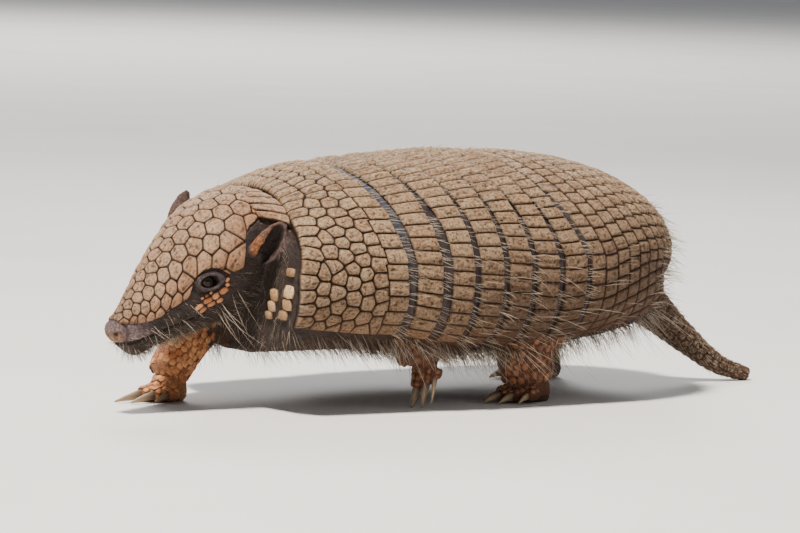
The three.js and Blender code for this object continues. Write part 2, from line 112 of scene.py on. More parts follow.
def node(tree, kind, inputs=None, **settings):
    """Adds a node. An input that is itself a socket is linked, and any other value is set."""
    made = tree.nodes.new("ShaderNode" + kind)
    for key, value in settings.items():
        setattr(made, key, value)
    for key, value in (inputs or {}).items():
        if isinstance(value, bpy.types.NodeSocket):
            tree.links.new(value, made.inputs[key])
        else:
            made.inputs[key].default_value = value
    return made


def ramp(tree, value, low, high):
    """Goes from 0 where value is low to 1 where it is high."""
    return node(tree, "MapRange", {0: value, 1: low, 2: high}).outputs[0]


def blend(tree, share, a, b):
    """Mixes two colours: a where share is 0, b where it is 1."""
    return node(tree, "Mix", {0: share, 6: a, 7: b}, data_type="RGBA").outputs[2]


def sums(tree, kind, a, b):
    return node(tree, "Math", {0: a, 1: b}, operation=kind).outputs[0]


def noise(tree, where, scale, detail=3.0, rough=0.55):
    inputs = {"Vector": where, "Scale": scale, "Detail": detail, "Roughness": rough}
    return node(tree, "TexNoise", inputs).outputs[0]


def object_place(tree):
    return node(tree, "TexCoord").outputs["Object"]


def mask(tree, name):
    return node(tree, "Attribute", attribute_name=name).outputs["Fac"]


def shade(tree, colour, roughness, bump=None, depth=0.0, **fixed):
    """The surface itself. fixed are values that are the same all over it."""
    inputs = {"Base Color": colour, "Roughness": roughness}
    inputs.update({key.replace("_", " "): value for key, value in fixed.items()})
    if bump is not None:
        inputs["Normal"] = node(tree, "Bump", {"Height": bump, "Distance": depth, "Strength": 1.0}).outputs[0]
    surface = node(tree, "BsdfPrincipled", inputs)
    node(tree, "OutputMaterial", {"Surface": surface.outputs[0]})


def as_mesh(bm, name):
    """A new mesh from a bmesh, which isn't needed after that."""
    mesh = bpy.data.meshes.new(name)
    bm.to_mesh(mesh)
    bm.free()
    return mesh


# %% Floor and lamps
FLOOR_SIZE = 26.0
BODY_MIDDLE = (0, 0, 0.08)
SURROUNDING = 0.31  # strength of the light from all round
LAMPS = [  # name, place, what it points at, size, power and colour
    ("key_lamp", (-1.1, -0.5, 2.7), BODY_MIDDLE, 0.36, 198, (1.0, 0.94, 0.85)),
    ("rim_lamp", (1.2, 1.4, 1.5), BODY_MIDDLE, 1.2, 14, (0.95, 0.97, 1.0)),
    ("side_lamp", (1.6, -1.8, 0.9), BODY_MIDDLE, 1.4, 5, (1.0, 0.98, 0.95)),
    ("far_lamp", (3.0, 6.6, 4.2), (2.6, 4.6, 0), 3.6, 430, (1.0, 0.99, 0.97)),
]
bm = bmesh.new()
bmesh.ops.create_grid(bm, x_segments=1, y_segments=1, size=FLOOR_SIZE / 2)
floor_mesh = as_mesh(bm, "floor")
floor = bpy.data.objects.new("floor", floor_mesh)
bpy.context.scene.collection.objects.link(floor)
floor_finish = new_material("floor_paint")
tree = floor_finish.node_tree
speckle = ramp(tree, noise(tree, object_place(tree), 3.0), 0.3, 0.7)
shade(tree, blend(tree, speckle, rgb(228, 225, 220), rgb(234, 231, 227)), 0.85)
floor_mesh.materials.append(floor_finish)


def lamp(name, place, target, size, power, colour):
    data = bpy.data.lights.new(name, "AREA")
    data.shape = "DISK"
    data.size = size
    data.energy = power
    data.color = colour
    made = bpy.data.objects.new(name, data)
    made.location = place
    made.rotation_euler = (Vector(target) - Vector(place)).to_track_quat("-Z", "Y").to_euler()
    bpy.context.scene.collection.objects.link(made)


for facts in LAMPS:
    lamp(*facts)
world = bpy.data.worlds.new("studio")
world.use_nodes = True
world.node_tree.nodes["Background"].inputs[0].default_value = rgb(226, 230, 238)
world.node_tree.nodes["Background"].inputs[1].default_value = SURROUNDING
bpy.context.scene.world = world
print("floor and four lamps are in place")

# %% [markdown]
# ## The outline of the body
# The shell's outside is one smooth surface. A place on it is given by s, which counts along the animal from
# the front edge of the shoulder shield (0) over the grooves round the six bands (1 to 7) to the edge over
# the tail (10), and by an angle from the middle of the back. The surface could be sculpted by hand, but
# plates have to sit on it in rows, and rows are easy to lay out where every place has two plain numbers.
# The same sizes shape the solids, so each plate lies where its solid is.

# %% Curves through given values


def mix(a, b, t):
    return a + (b - a) * t


def power(value, exponent):
    """A power that keeps the sign."""
    return np.sign(value) * np.abs(value) ** exponent


def unit(vectors):
    """The same directions with length 1."""
    return vectors / np.maximum(np.linalg.norm(vectors, axis=-1, keepdims=True), 1e-9)


def step(low, high, value):
    """Goes smoothly from 0 at low to 1 at high."""
    t = np.clip((np.asarray(value, float) - low) / (high - low), 0, 1)
    return t * t * (3 - 2 * t)


def track(pairs, at):
    """A smooth curve through (position, value) pairs, level beyond its ends."""
    x, v = np.array(pairs, float).T
    at = np.clip(at, x[0], x[-1])
    slope = np.empty(len(x))
    slope[1:-1] = (v[2:] - v[:-2]) / (x[2:] - x[:-2])
    slope[0] = (v[1] - v[0]) / (x[1] - x[0])
    slope[-1] = (v[-1] - v[-2]) / (x[-1] - x[-2])
    i = np.clip(np.searchsorted(x, at, side="right") - 1, 0, len(x) - 2)
    h = x[i + 1] - x[i]
    t = (at - x[i]) / h
    u = 1 - t
    ends = v[i] * u * u * (1 + 2 * t) + v[i + 1] * t * t * (1 + 2 * u)
    return ends + slope[i] * h * t * u * u - slope[i + 1] * h * t * t * u


# %% The shell's surface
CENTRE_X = 5.56
SHELL_THICKNESS = 5.0
LIP_DROP = 1.8  # how much lower each plate starts, under the edge of the one before
GROOVE = 4.5
FIRST_GROOVE = 7.0  # behind the shoulder shield
SIDE_PITCH = 22.6  # from band to band on the flank
LAST = 7  # the groove behind the last band
END = 10  # the edge over the tail
RUMP_X = -20  # centre of the oval that the back follows over the rump
RUMP_Z = 82
RUMP_LENGTH = 187
RUMP_ROUND = 0.76  # 1 would be an ellipse, and less is squarer
SIDE_HEIGHT = 99  # of the widest line on the flank
SIDE_FALL = 24  # how far that line comes down by the tail
SIDE_START = -86.5  # where band 1 begins on that line
BELLY = [[0, 45], [4, 33], [8, 35], [END, 44]]
HEM = [[0, 66], [1, 56], [4, 45], [LAST, 42], [9, 56], [END, 66]]  # height of the shell's lower edge
ABOVE_ROUND = 0.95
BELOW_ROUND = 0.7


def stance(x, y, z):
    """Sets a point of the level body down in its stance: the back slopes down to the shoulders."""
    return np.stack([x * math.cos(TURN) - z * math.sin(TURN) + 1 + CENTRE_X, y + 0 * x,
                     z * math.cos(TURN) + x * math.sin(TURN) - 2.3], -1)


def rump(s):
    """Goes from 0 at the last groove to 1 at the edge over the tail."""
    return np.clip((s - LAST) / (END - LAST), 0, 1)


def back_level(s):
    """Height of the back over the bands."""
    return 167.5 - 0.25 * (s - 5) ** 2


def band_x(s):
    """Place of the bands along the back."""
    return -101 + 29.5 * (s - 1) - 1.65 * (s - 1) ** 2


RUMP_START = math.asin(((band_x(LAST) - RUMP_X) / RUMP_LENGTH) ** (1 / RUMP_ROUND))
RUMP_HEIGHT = (back_level(LAST) - RUMP_Z) / math.cos(RUMP_START) ** RUMP_ROUND


def body_point(s, angle, depth=0.0, grow=0.0):
    """Points at s and angle, depth under the shell's outside, in millimetres."""
    s, angle, depth = np.broadcast_arrays(np.asarray(s, float), angle, depth)
    r = rump(s)
    turn = mix(RUMP_START, math.pi / 2, r)
    rump_x = RUMP_X + RUMP_LENGTH * power(np.sin(turn), RUMP_ROUND)
    back_x = np.where(s <= 1, mix(-147, -101, s), np.where(s <= LAST, band_x(s), rump_x))
    front_z = mix(152, back_level(1), np.sin(s * math.pi / 2))
    rump_z = RUMP_Z + RUMP_HEIGHT * power(np.cos(turn), RUMP_ROUND)
    back_z = np.where(s <= 1, front_z, np.where(s <= LAST, back_level(s), rump_z))
    bands_x = SIDE_START + SIDE_PITCH * (np.minimum(s, LAST) - 1) + 104 * r
    side_x = np.where(s <= 1, mix(-163, SIDE_START, s), bands_x)
    side_z = SIDE_HEIGHT - SIDE_FALL * r**2
    front_width = mix(83, 101, np.sin(np.clip(s, 0, 4) / 4 * math.pi / 2) ** 0.75)
    half = np.where(s <= 4, front_width, 30 + 71 * np.sqrt(np.maximum(1 - r**2.4, 0)))
    belly = track(BELLY, s)
    c = np.cos(angle)
    wide = np.maximum(half - depth, 4)
    rise_x, rise_z = back_x - side_x, back_z - side_z
    length = np.hypot(rise_x, rise_z)
    up = np.maximum(length - depth, 4) * power(c, ABOVE_ROUND) / length
    above = c >= 0
    x = side_x + np.where(above, rise_x * up, 0)
    z = side_z + np.where(above, rise_z * up, (side_z - belly + grow) * power(c, BELOW_ROUND))
    y = wide * power(np.sin(angle), np.where(above, ABOVE_ROUND, BELOW_ROUND))
    return stance(x, y, z)


def hem_angle(s):
    """The angle at which the shell ends on the flank."""
    side_z = SIDE_HEIGHT - SIDE_FALL * rump(s) ** 2
    below = (side_z - track(HEM, s)) / (side_z - track(BELLY, s))
    return math.pi / 2 + np.arcsin(np.clip(below, 0.02, 0.98) ** (1 / BELOW_ROUND))


# %% Even spacing across the shell
S_STEPS = np.linspace(-0.4, END, 209)
A_STEPS = 161
MIDDLE_BAND = 4
half_turns = hem_angle(S_STEPS)[:, None] * np.linspace(0, 1, A_STEPS)[None, :]
arc_points = body_point(S_STEPS[:, None], half_turns)
arc_steps = np.linalg.norm(np.diff(arc_points, axis=1), axis=2)
arcs = np.concatenate([np.zeros((len(S_STEPS), 1)), np.cumsum(arc_steps, axis=1)], axis=1)
HALF_ARC = arcs[:, -1]
SHARES = np.linspace(0, 1, A_STEPS)
EVEN = np.array([np.interp(SHARES * a[-1], a, h) for a, h in zip(arcs, half_turns)])


def half_arc(s):
    """Distance over the shell from the middle of the back to its edge on the flank."""
    return np.interp(s, S_STEPS, HALF_ARC)


def shell_point(s, share, height=0.0):
    """Points on the shell. share runs evenly over it from -1 at the left edge to 1 at the right one."""
    s, share, height = np.broadcast_arrays(np.asarray(s, float), share, height)
    row = np.clip((s - S_STEPS[0]) / (S_STEPS[1] - S_STEPS[0]), 0, len(S_STEPS) - 1.001)
    column = np.clip(np.abs(share) * (A_STEPS - 1), 0, A_STEPS - 1.001)
    i, j = row.astype(int), column.astype(int)
    fi, fj = row - i, column - j
    here = mix(EVEN[i, j], EVEN[i, j + 1], fj)
    behind = mix(EVEN[i + 1, j], EVEN[i + 1, j + 1], fj)
    angle = mix(here, behind, fi)
    return body_point(s, np.sign(share) * angle, -height)


print("the shell measures", round(2 * float(half_arc(MIDDLE_BAND))), "mm across its back from edge to edge")

# %% [markdown]
# ## Making a plate with relief
# The armour is bone under thin horn. Each shield or band is one curved plate whose face is parted by
# grooves into scutes. Hundreds of loose tiles could be laid side by side, but in life the scutes of a
# shield are grown together, so one plate is made with the grooves pressed into it. A grid is extruded into
# a closed slab, then every corner of its top is moved to the shell's surface, raised or sunk by the relief.
# Grid cells of about 0.7 mm hold it crisply.

# %% Turning arrays into pieces


def give(mesh, name, values):
    """Stores one number for each corner, for a material to read."""
    layer = mesh.attributes.new(name, "FLOAT", "POINT")
    layer.data.foreach_set("value", np.asarray(values, np.float32))


def points_of(mesh):
    """The places of a mesh's corners, in the mesh's own unit."""
    found = np.empty(len(mesh.vertices) * 3, np.float32)
    mesh.vertices.foreach_get("co", found)
    return found.reshape(-1, 3).astype(float)


def directions_of(mesh):
    """The way out of the surface at each corner."""
    found = np.empty(len(mesh.vertices) * 3, np.float32)
    mesh.vertices.foreach_get("normal", found)
    return found.reshape(-1, 3).astype(float)


def place_points(mesh, points):
    """Sets the corners to places given in millimetres."""
    mesh.vertices.foreach_set("co", (points * MM).astype(np.float32).ravel())
    mesh.update()


def face_out(mesh):
    """Turns all faces outwards and shades them smooth."""
    bm = bmesh.new()
    bm.from_mesh(mesh)
    bmesh.ops.recalc_face_normals(bm, faces=bm.faces[:])
    bm.to_mesh(mesh)
    bm.free()
    mesh.shade_smooth()


def lay_uv(mesh, name, uv):
    """A UV map from one pair of numbers for each corner."""
    layer = mesh.uv_layers.new(name=name)
    corners = np.empty(len(mesh.loops), np.int32)
    mesh.loops.foreach_get("vertex_index", corners)
    layer.data.foreach_set("uv", uv[corners].astype(np.float32).ravel())


def show(name, mesh, finish, slot, *nodes):
    """Puts a finished mesh into the scene, in place of the solids that it stands for."""
    mesh.materials.append(finish)
    piece = bpy.data.objects.new(name, mesh)
    bpy.context.scene.collection.objects.link(piece)
    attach(piece, "root")
    if nodes:
        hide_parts(*nodes)
    print(name + ":", len(mesh.polygons), "faces")
    return piece


THINNING = 6  # rounds of thinning


def slab(name, along, across, thin_below=True):
    """A closed slab of unit size, and for each corner its place along, its place across and if it is on top.
    A grid is extruded to make it. The underside, which nobody sees, gets fewer faces."""
    bm = bmesh.new()
    bmesh.ops.create_grid(bm, x_segments=along, y_segments=across, size=0.5)
    made = bmesh.ops.extrude_face_region(bm, geom=bm.faces[:], use_keep_orig=True)
    lifted = [v for v in made["geom"] if isinstance(v, bmesh.types.BMVert)]
    bmesh.ops.translate(bm, verts=lifted, vec=(0, 0, 1))
    inner = [v for v in bm.verts if v.co.z < 0.5 and max(abs(v.co.x), abs(v.co.y)) < 0.4999]
    if thin_below:
        bmesh.ops.unsubdivide(bm, verts=inner, iterations=THINNING)
    mesh = as_mesh(bm, name)
    grid = points_of(mesh)
    return mesh, grid[:, 0] + 0.5, grid[:, 1] + 0.5, grid[:, 2] > 0.5


# %% Relief: grooves, domed scutes, ridges and pits


def lattice(i, j, seed):
    """A number from 0 to 1 that looks random, but is always the same for the same place and seed."""
    value = np.sin(i * 127.1 + j * 311.7 + seed * 74.7) * 43758.5453
    return value - np.floor(value)


def wander(x, y, seed=0):
    """Smooth random heights from 0 to 1, with bumps about one unit apart."""
    i, j = np.floor(x), np.floor(y)
    u, v = step(0, 1, x - i), step(0, 1, y - j)
    low = mix(lattice(i, j, seed), lattice(i + 1, j, seed), u)
    high = mix(lattice(i, j + 1, seed), lattice(i + 1, j + 1, seed), u)
    return mix(low, high, v)


def inside_box(x, y, half_x, half_y, corner):
    """Distance inwards from the edge of a rectangle with rounded corners."""
    qx, qy = np.abs(x) - half_x + corner, np.abs(y) - half_y + corner
    return corner - np.hypot(np.maximum(qx, 0), np.maximum(qy, 0)) - np.minimum(np.maximum(qx, qy), 0)


AT_ONCE = 20000  # points compared with all seeds in one go, to spare memory


def cells(x, y, seeds, rounding, near=7):
    """Which seed each point belongs to, and how far it is from the border of that rounded cell."""
    nearest = np.empty(len(x), int)
    edge = np.empty(len(x))
    for start in range(0, len(x), AT_ONCE):
        part = slice(start, start + AT_ONCE)
        far = np.hypot(x[part, None] - seeds[None, :, 0], y[part, None] - seeds[None, :, 1])
        order = np.argpartition(far, near, axis=1)[:, :near]
        far_near = np.take_along_axis(far, order, 1)
        sort = np.argsort(far_near, axis=1)
        order = np.take_along_axis(order, sort, 1)
        far_near = np.take_along_axis(far_near, sort, 1)
        first = seeds[order[:, 0]]
        apart = np.linalg.norm(seeds[order[:, 1:]] - first[:, None, :], axis=2)
        border = (far_near[:, 1:] ** 2 - far_near[:, :1] ** 2) / (2 * apart)
        nearest[part] = order[:, 0]
        edge[part] = -rounding * np.log(np.exp(-border / rounding).sum(1))
    return nearest, edge


def scute(edge, x, y, key, ridges=0.0, groove=1.25):
    """Height of a scute's surface and how light it is painted, from the distance to its edge and the place in
    it:
    darker in the groove and in pits and low places, with dirt and painted shade. key is a number of its own,
    and ridges says how strongly it is ribbed along x."""
    tall = lattice(key, key * 0.37, 3)
    wall = step(-0.1, groove, edge)
    dome = 1 - np.exp(-np.maximum(edge, 0) / 2.0)
    rib = wander(y / 1.9 + key * 7.3, x / 13 + key * 3.1, 5) - 0.5
    pit = wander(x / 1.9 + key * 5.7, y / 1.2 + key * 2.3, 9)
    pits = -0.5 * step(0.6, 0.88, pit) * step(0.7, 1.6, edge)
    lump = 0.55 * (wander(x / 2.8 + key, y / 2.2 - key, 17) - 0.5)
    fine = 0.4 * (wander(x / 1.0 + key, y / 0.8 - key, 11) - 0.5)
    relief = 1.35 * ridges * rib + pits + lump + fine
    height = -1.85 + 0.95 * wall + dome * (1.15 + 0.35 * tall) + dome * relief
    # pits, hollows between ribs and low lumps are painted darker, with dirt and painted shade
    open_to_light = 1 + 0.9 * pits + 0.45 * ridges * np.minimum(rib, 0) + 0.4 * (lump + fine)
    return height, wall * np.minimum(open_to_light, 1)


print("relief is ready")

# %% [markdown]
# ## Horn of the scutes
# The scutes are dry and matt, from light tan to brown, each a little different from its neighbour, darker
# in the grooves and pits with dirt and painted shade, and orange-brown along the lower edge where the horn is
# thinnest. Low on the flanks and round the tail they are painted darker, as shade. One flat colour would
# look like painted plastic. The material therefore reads what the plates know of themselves: how deep a
# point lies, which scute it belongs to, how near it is to the lower edge and how much painted shade it gets.

# %% Shell material
WORN_HORN = rgb(238, 214, 182)
# the colour of painted shade on the plates, and of a darker tone at random on the tail
SHADE_AND_DUST_HORN = rgb(88, 62, 44)
# darker in the grooves and pits, with dirt and painted shade
GROOVE_DIRT_AND_SHADE = rgb(70, 48, 34)


def horn_of_shell(name, light, middle, dark, warm):
    """Horn from light to dark in patches, streaks, creases, crust and specks."""
    made = new_material(name)
    tree = made.node_tree
    place = object_place(tree)
    grain = node(tree, "UVMap", uv_map="grain").outputs[0]
    blotch = ramp(tree, noise(tree, place, 45.0, 4.0), 0.32, 0.7)
    streak_place = node(tree, "Mapping", {"Vector": grain, "Scale": (1.6, 6.0, 1.0)}).outputs[0]
    streak = ramp(tree, noise(tree, streak_place, 2.4, 5.0, 0.65), 0.42, 0.62)
    crease = ramp(tree, noise(tree, streak_place, 7.0, 3.0, 0.6), 0.54, 0.64)
    crust = ramp(tree, noise(tree, place, 480.0, 4.0, 0.7), 0.46, 0.58)
    speck = ramp(tree, noise(tree, place, 760.0, 3.0, 0.7), 0.51, 0.64)
    tint = mask(tree, "tint")
    body = blend(tree, tint, middle, light)
    body = blend(tree, sums(tree, "MULTIPLY", blotch, 0.5), body, dark)
    body = blend(tree, sums(tree, "MULTIPLY", streak, 0.4), body, light)
    body = blend(tree, sums(tree, "MULTIPLY", crease, 0.5), body, dark)
    body = blend(tree, sums(tree, "MULTIPLY", crust, 0.55), body, WORN_HORN)
    body = blend(tree, sums(tree, "MULTIPLY", speck, 0.75), body, dark)
    body = blend(tree, mask(tree, "warm"), body, warm)
    # painted shade on the plates, low on the flanks and round the tail; on the tail scutes a darker tone at
    # random
    body = blend(tree, mask(tree, "shade"), body, SHADE_AND_DUST_HORN)
    # the grooves and pits are darker, with dirt and painted shade
    body = blend(tree, ramp(tree, mask(tree, "rise"), 0.3, 0.98), GROOVE_DIRT_AND_SHADE, body)
    rough = node(tree, "MapRange", {0: speck, 3: 0.6, 4: 0.76}).outputs[0]
    height = sums(tree, "ADD", sums(tree, "MULTIPLY", streak, 0.5), sums(tree, "MULTIPLY", crust, 0.6))
    height = sums(tree, "SUBTRACT", height, sums(tree, "MULTIPLY", speck, 0.5))
    height = sums(tree, "SUBTRACT", height, sums(tree, "MULTIPLY", crease, 0.5))
    shade(tree, body, rough, height, 0.001, Specular_IOR_Level=0.3)
    return made


shell_horn = horn_of_shell("shell_horn", light=rgb(234, 194, 152), middle=rgb(206, 160, 118),
                           dark=rgb(122, 84, 56), warm=rgb(146, 84, 40))
head_horn = horn_of_shell("head_horn", light=rgb(242, 200, 162), middle=rgb(220, 170, 130),
                          dark=rgb(144, 100, 72), warm=rgb(180, 108, 64))
print("two kinds of horn are mixed")

# %% [markdown]
# ## Bands
# Six bands lie like roof tiles: each starts under the free rear edge of the one before, with a groove of
# bare skin between. A band is one row of long rectangular scutes with ribs running along the body. The row
# could be an array of one modelled scute, but each is a little different in life, so the band is one slab
# and the relief splits it.

# %% Edges that roll under


def rolled(distance, radius=1.3):
    """How much lower a plate is near its rim, as a quarter round."""
    t = 1 - np.clip(distance / radius, 0, 1)
    return radius * (1 - np.sqrt(np.maximum(1 - t * t, 0)))


def grain_map(x, y, tint):
    """The grain of the horn runs with each scute, and tint shifts it so that no two are alike."""
    return np.stack([x, y], -1) / 10 + tint[:, None] * 5


def finish_plate(mesh, top, points, rise, tint, warm, shadow, grain):
    """Sets a plate's corners and what its material reads: how deep, which scute, how warm and how much
    painted shade.
    """
    place_points(mesh, points)
    face_out(mesh)
    give(mesh, "rise", np.where(top, np.clip(rise, 0, 1), 0.1))
    give(mesh, "tint", tint)
    give(mesh, "warm", np.clip(warm, 0, 1))
    give(mesh, "shade", shadow)
    lay_uv(mesh, "grain", grain)


def lower_edge(s, share):
    """Near 1 along the lower edge of the shell, fading upwards."""
    below = (1 - np.abs(share)) * half_arc(s)
    stripes = mix(0.55, 1, wander(s * 30, share * 4, 5))
    return (1 - step(4, 20, below + 9 * (wander(s * 3, share * 12, 2) - 0.5))) * stripes


# %% The six bands
BANDS = 6
SCUTE_WIDTH = 9.4
BAND_STEPS = 34  # grid cells along a scute, and across it
SCUTE_STEPS = 15
TOP_LENGTH = 24  # of a scute in the middle of the back


def band(number):
    """One band. The groove before band 1 is the widest, and the one before band 2 is wide too."""
    end = number + 1
    count = round(2 * float(half_arc(number + 0.6)) / SCUTE_WIDTH)
    mesh, a, b, top = slab("band_%d_scutes" % number, BAND_STEPS, count * SCUTE_STEPS)
    share = mix(-1, 1, b)
    gap = GROOVE * (1.3 if number == 2 else 1.0) * mix(0.8, 1.5, step(0.25, 0.6, np.abs(share)))
    start = number + (FIRST_GROOVE if number == 1 else gap) / SIDE_PITCH
    column = np.clip(np.floor(b * count), 0, count - 1)
    wave = 0.02 * np.sin(column * 2.4 + number)
    s = mix(start, end + wave * (a > 0.5) * (1 - np.abs(share)), a)
    long = mix(TOP_LENGTH, SIDE_PITCH - GROOVE, step(0.2, 0.8, np.abs(share)))
    wide = 2 * half_arc(s) / count
    x = (a - 0.5) * long
    y = (b * count - column - 0.5) * wide
    edge = inside_box(x, y, long / 2 + 0.6, wide / 2, 1.3)
    height, rise = scute(edge, x, y, column + 61 * number, ridges=1.0, groove=1.0)
    rim = np.minimum(np.minimum(a, 1 - a) * long, (1 - np.abs(share)) * half_arc(s))
    tuck = LIP_DROP * (1 - step(0, 0.8, a))
    outside = shell_point(s, share, np.where(top, height - tuck - rolled(rim), -SHELL_THICKNESS))
    # painted shade: darker low on the flanks, and more so on the rear bands
    shadow = mix(0.45, 0.92, step(1.5, 5, s)) * step(0.34, 0.92, np.abs(share))
    tint = lattice(column, number, 1)
    warm = mix(0.6, 1.2, step(2, 5, s)) * lower_edge(s, share)
    finish_plate(mesh, top, outside, rise, tint, warm, shadow, grain_map(x, y, tint))
    return show("band_%d_scutes" % number, mesh, shell_horn, "shell_plate", "band_%d" % number)


for number in range(1, BANDS + 1):
    band(number)

# %% [markdown]
# ## Shoulder shield
# Its last row is of long rectangles like a band's. In front of it the scutes are rounded polygons of five
# or six sides in loose rows. Polygons like these come about where growing cells meet, so they are made in
# that way: seeds are set in rows with some disorder, and each point belongs to the seed next to it.

# %% Shoulder shield
SHIELD_ROW = 15.5  # length of the last row of scutes
LAST_ROW_SCUTE = 10.6  # their width
SHOULDER_SCUTE = 9.4  # width of the others
SHOULDER_PITCH = 10.4  # from row to row
LAST_ROW_KEY = 300  # their keys start here, past all the seeds


def shoulder_length(share):
    """From the front edge to the rear one, in millimetres."""
    front, rear = shell_point(0.0, share), shell_point(1.0, share)
    return np.linalg.norm(rear - front, axis=-1)


def shoulder_seeds(reach):
    """One row along the front edge, and rows from the last one forwards as far as there is room."""
    found = []
    for row in range(-1, 6):
        count = 2 * round(reach / SHOULDER_SCUTE) + row % 2
        for k in range(count):
            y = (k - (count - 1) / 2) * SHOULDER_SCUTE
            length = float(shoulder_length(np.clip(y / reach, -1, 1)))
            x = -length + 5 if row < 0 else -SHIELD_ROW - SHOULDER_PITCH * (row + 0.5)
            if row < 0 or x > -length + 12.5:
                jitter = chance.uniform(-1, 1, 2) * (0.8 if row < 0 else 1.9)
                found.append((x + jitter[0], y + jitter[1]))
    return np.array(found)


def shoulder_shield():
    mesh, a, b, top = slab("shoulder_shield_scutes", 124, 600)
    share = mix(-1, 1, b)
    forward = 0.075 * np.exp(-(((np.abs(share) - 0.42) / 0.22) ** 2))  # the front edge bulges half way down
    s = a - forward * (1 - a) ** 2
    reach = float(half_arc(0.6))
    x = (a - 1) * shoulder_length(share)
    y = share * half_arc(s) * mix(1, reach / half_arc(s), 0.5)
    count = round(2 * float(half_arc(1)) / LAST_ROW_SCUTE)
    mosaic = shoulder_seeds(reach)
    key, edge = cells(x, y, mosaic, 0.5)
    column = np.clip(np.floor(b * count), 0, count - 1)
    wide = 2 * half_arc(s) / count
    row_x = x + SHIELD_ROW / 2 + 1.0 * np.sin(column * 2.1)
    last_y = (b * count - column - 0.5) * wide
    row_edge = inside_box(row_x, last_y, SHIELD_ROW / 2, wide / 2, 1.5)
    last = row_edge > 0
    border = row_x + SHIELD_ROW / 2
    edge = np.where(last, row_edge, np.minimum(edge, -border))
    key = np.where(last, LAST_ROW_KEY + column, key)
    centre = mosaic[np.minimum(key, len(mosaic) - 1).astype(int)]
    lx = np.where(last, row_x, x - centre[:, 0])
    ly = np.where(last, last_y, y - centre[:, 1])
    height, rise = scute(edge, lx, ly, key, ridges=np.where(last, 0.6, 0.22), groove=1.1)
    rim = np.minimum(np.minimum(a * shoulder_length(share), -x), (1 - np.abs(share)) * half_arc(s))
    points = shell_point(s, share, np.where(top, height - rolled(rim), -SHELL_THICKNESS))
    tint = lattice(key, 4, 1)
    # painted shade: darker low on the flanks
    shadow = 0.5 * step(0.5, 1, np.abs(share))
    warm = 0.3 * lower_edge(s, share)
    finish_plate(mesh, top, points, rise, tint, warm, shadow, grain_map(lx, ly, tint))
    return show("shoulder_shield_scutes", mesh, shell_horn, "shell_plate", "shoulder_shield")


shoulder_shield()

# %% [markdown]
# ## Hip shield
# Over the hips the scutes are nearly square, in rows across the body, each row shifted by half a scute
# against the one before, as bricks are laid. Rows keep their width, so they run out at the rear edge on the
# flanks, and each has as many scutes as fit it. The last ones, round the tail, and the low ones on the flanks
# are painted darker, as shade.

# %% Hip shield
HIP_START = LAST + 0.7 * GROOVE / SIDE_PITCH
HIP_ROW = 11.2  # length of a scute
HIP_SCUTE = 10.2  # its width
RULED = (40, 80)  # the shield is measured at this many steps across and along


def hip_runs():
    """Distances from the shield's front edge over its curve, from the middle of the back down to the edge."""
    down, along = RULED
    places = mix(HIP_START, END, np.linspace(0, 1, along + 1))
    ruled = shell_point(places[None, :], np.linspace(0, 1, down + 1)[:, None])
    steps = np.linalg.norm(np.diff(ruled, axis=1), axis=2)
    return places, np.concatenate([np.zeros((down + 1, 1)), np.cumsum(steps, 1)], 1)


def hip_shield():
    mesh, a, b, top = slab("hip_shield_scutes", 190, 420)
    share = mix(-1, 1, b)
    start = LAST + mix(0.2, 0.7, step(0.3, 0.8, np.abs(share))) * GROOVE / SIDE_PITCH
    s = mix(start, END, a)
    places, run = hip_runs()
    at = np.abs(share) * RULED[0]
    low = np.clip(at.astype(int), 0, RULED[0] - 1)
    spot = np.clip(a * RULED[1], 0, RULED[1] - 0.001)
    cell, part = spot.astype(int), spot - spot.astype(int)
    lower = mix(run[low, cell], run[low, cell + 1], part)
    upper = mix(run[low + 1, cell], run[low + 1, cell + 1], part)
    from_front = mix(lower, upper, at - low)
    row = np.floor(from_front / HIP_ROW)
    row_s = np.interp((row + 0.5) * HIP_ROW, run[RULED[0] // 4], places)
    fit = np.maximum(np.round(2 * half_arc(row_s) / HIP_SCUTE), 6)
    fit = fit + (fit + row) % 2
    column = np.clip(np.floor(b * fit), 0, fit - 1)
    wide = 2 * half_arc(s) / fit
    x = from_front - (row + 0.5) * HIP_ROW
    y = (b * fit - column - 0.5) * wide
    edge = inside_box(x, y, HIP_ROW / 2, wide / 2, 1.6)
    key = row * 41 + column
    height, rise = scute(edge, x, y, key, ridges=0.3)
    length = mix(run[low, -1], run[low + 1, -1], at - low)
    rim = np.minimum(np.minimum(from_front, length - from_front), (1 - np.abs(share)) * half_arc(s))
    tuck = LIP_DROP * (1 - step(0, 0.1, a))
    points = shell_point(s, share, np.where(top, height - tuck - rolled(rim), -SHELL_THICKNESS))
    tint = lattice(column, row, 1)
    to_tail = a + 0.25 * np.abs(share) - 0.1 + 0.12 * (wander(a * 14, share * 14, 8) - 0.5)
    # painted shade: darker round the tail and low on the flanks
    shadow = np.maximum(0.8 * step(0.72, 1.0, to_tail), 0.85 * step(0.3, 0.86, np.abs(share)))
    warm = 1.2 * lower_edge(s, share)
    finish_plate(mesh, top, points, rise, tint, warm, shadow, grain_map(x, y, tint))
    return show("hip_shield_scutes", mesh, shell_horn, "shell_plate", "hip_shield")


hip_shield()

# %% [markdown]
# ## The head's outline
# The head has numbers of its own: back is the distance behind the nose, out the distance to the right of
# the middle line and up the height over it. It hangs down by 28 degrees and is turned a little to the left.
# Its widths and heights are smooth curves along the head, so the skin, the head shield and the face all
# agree.

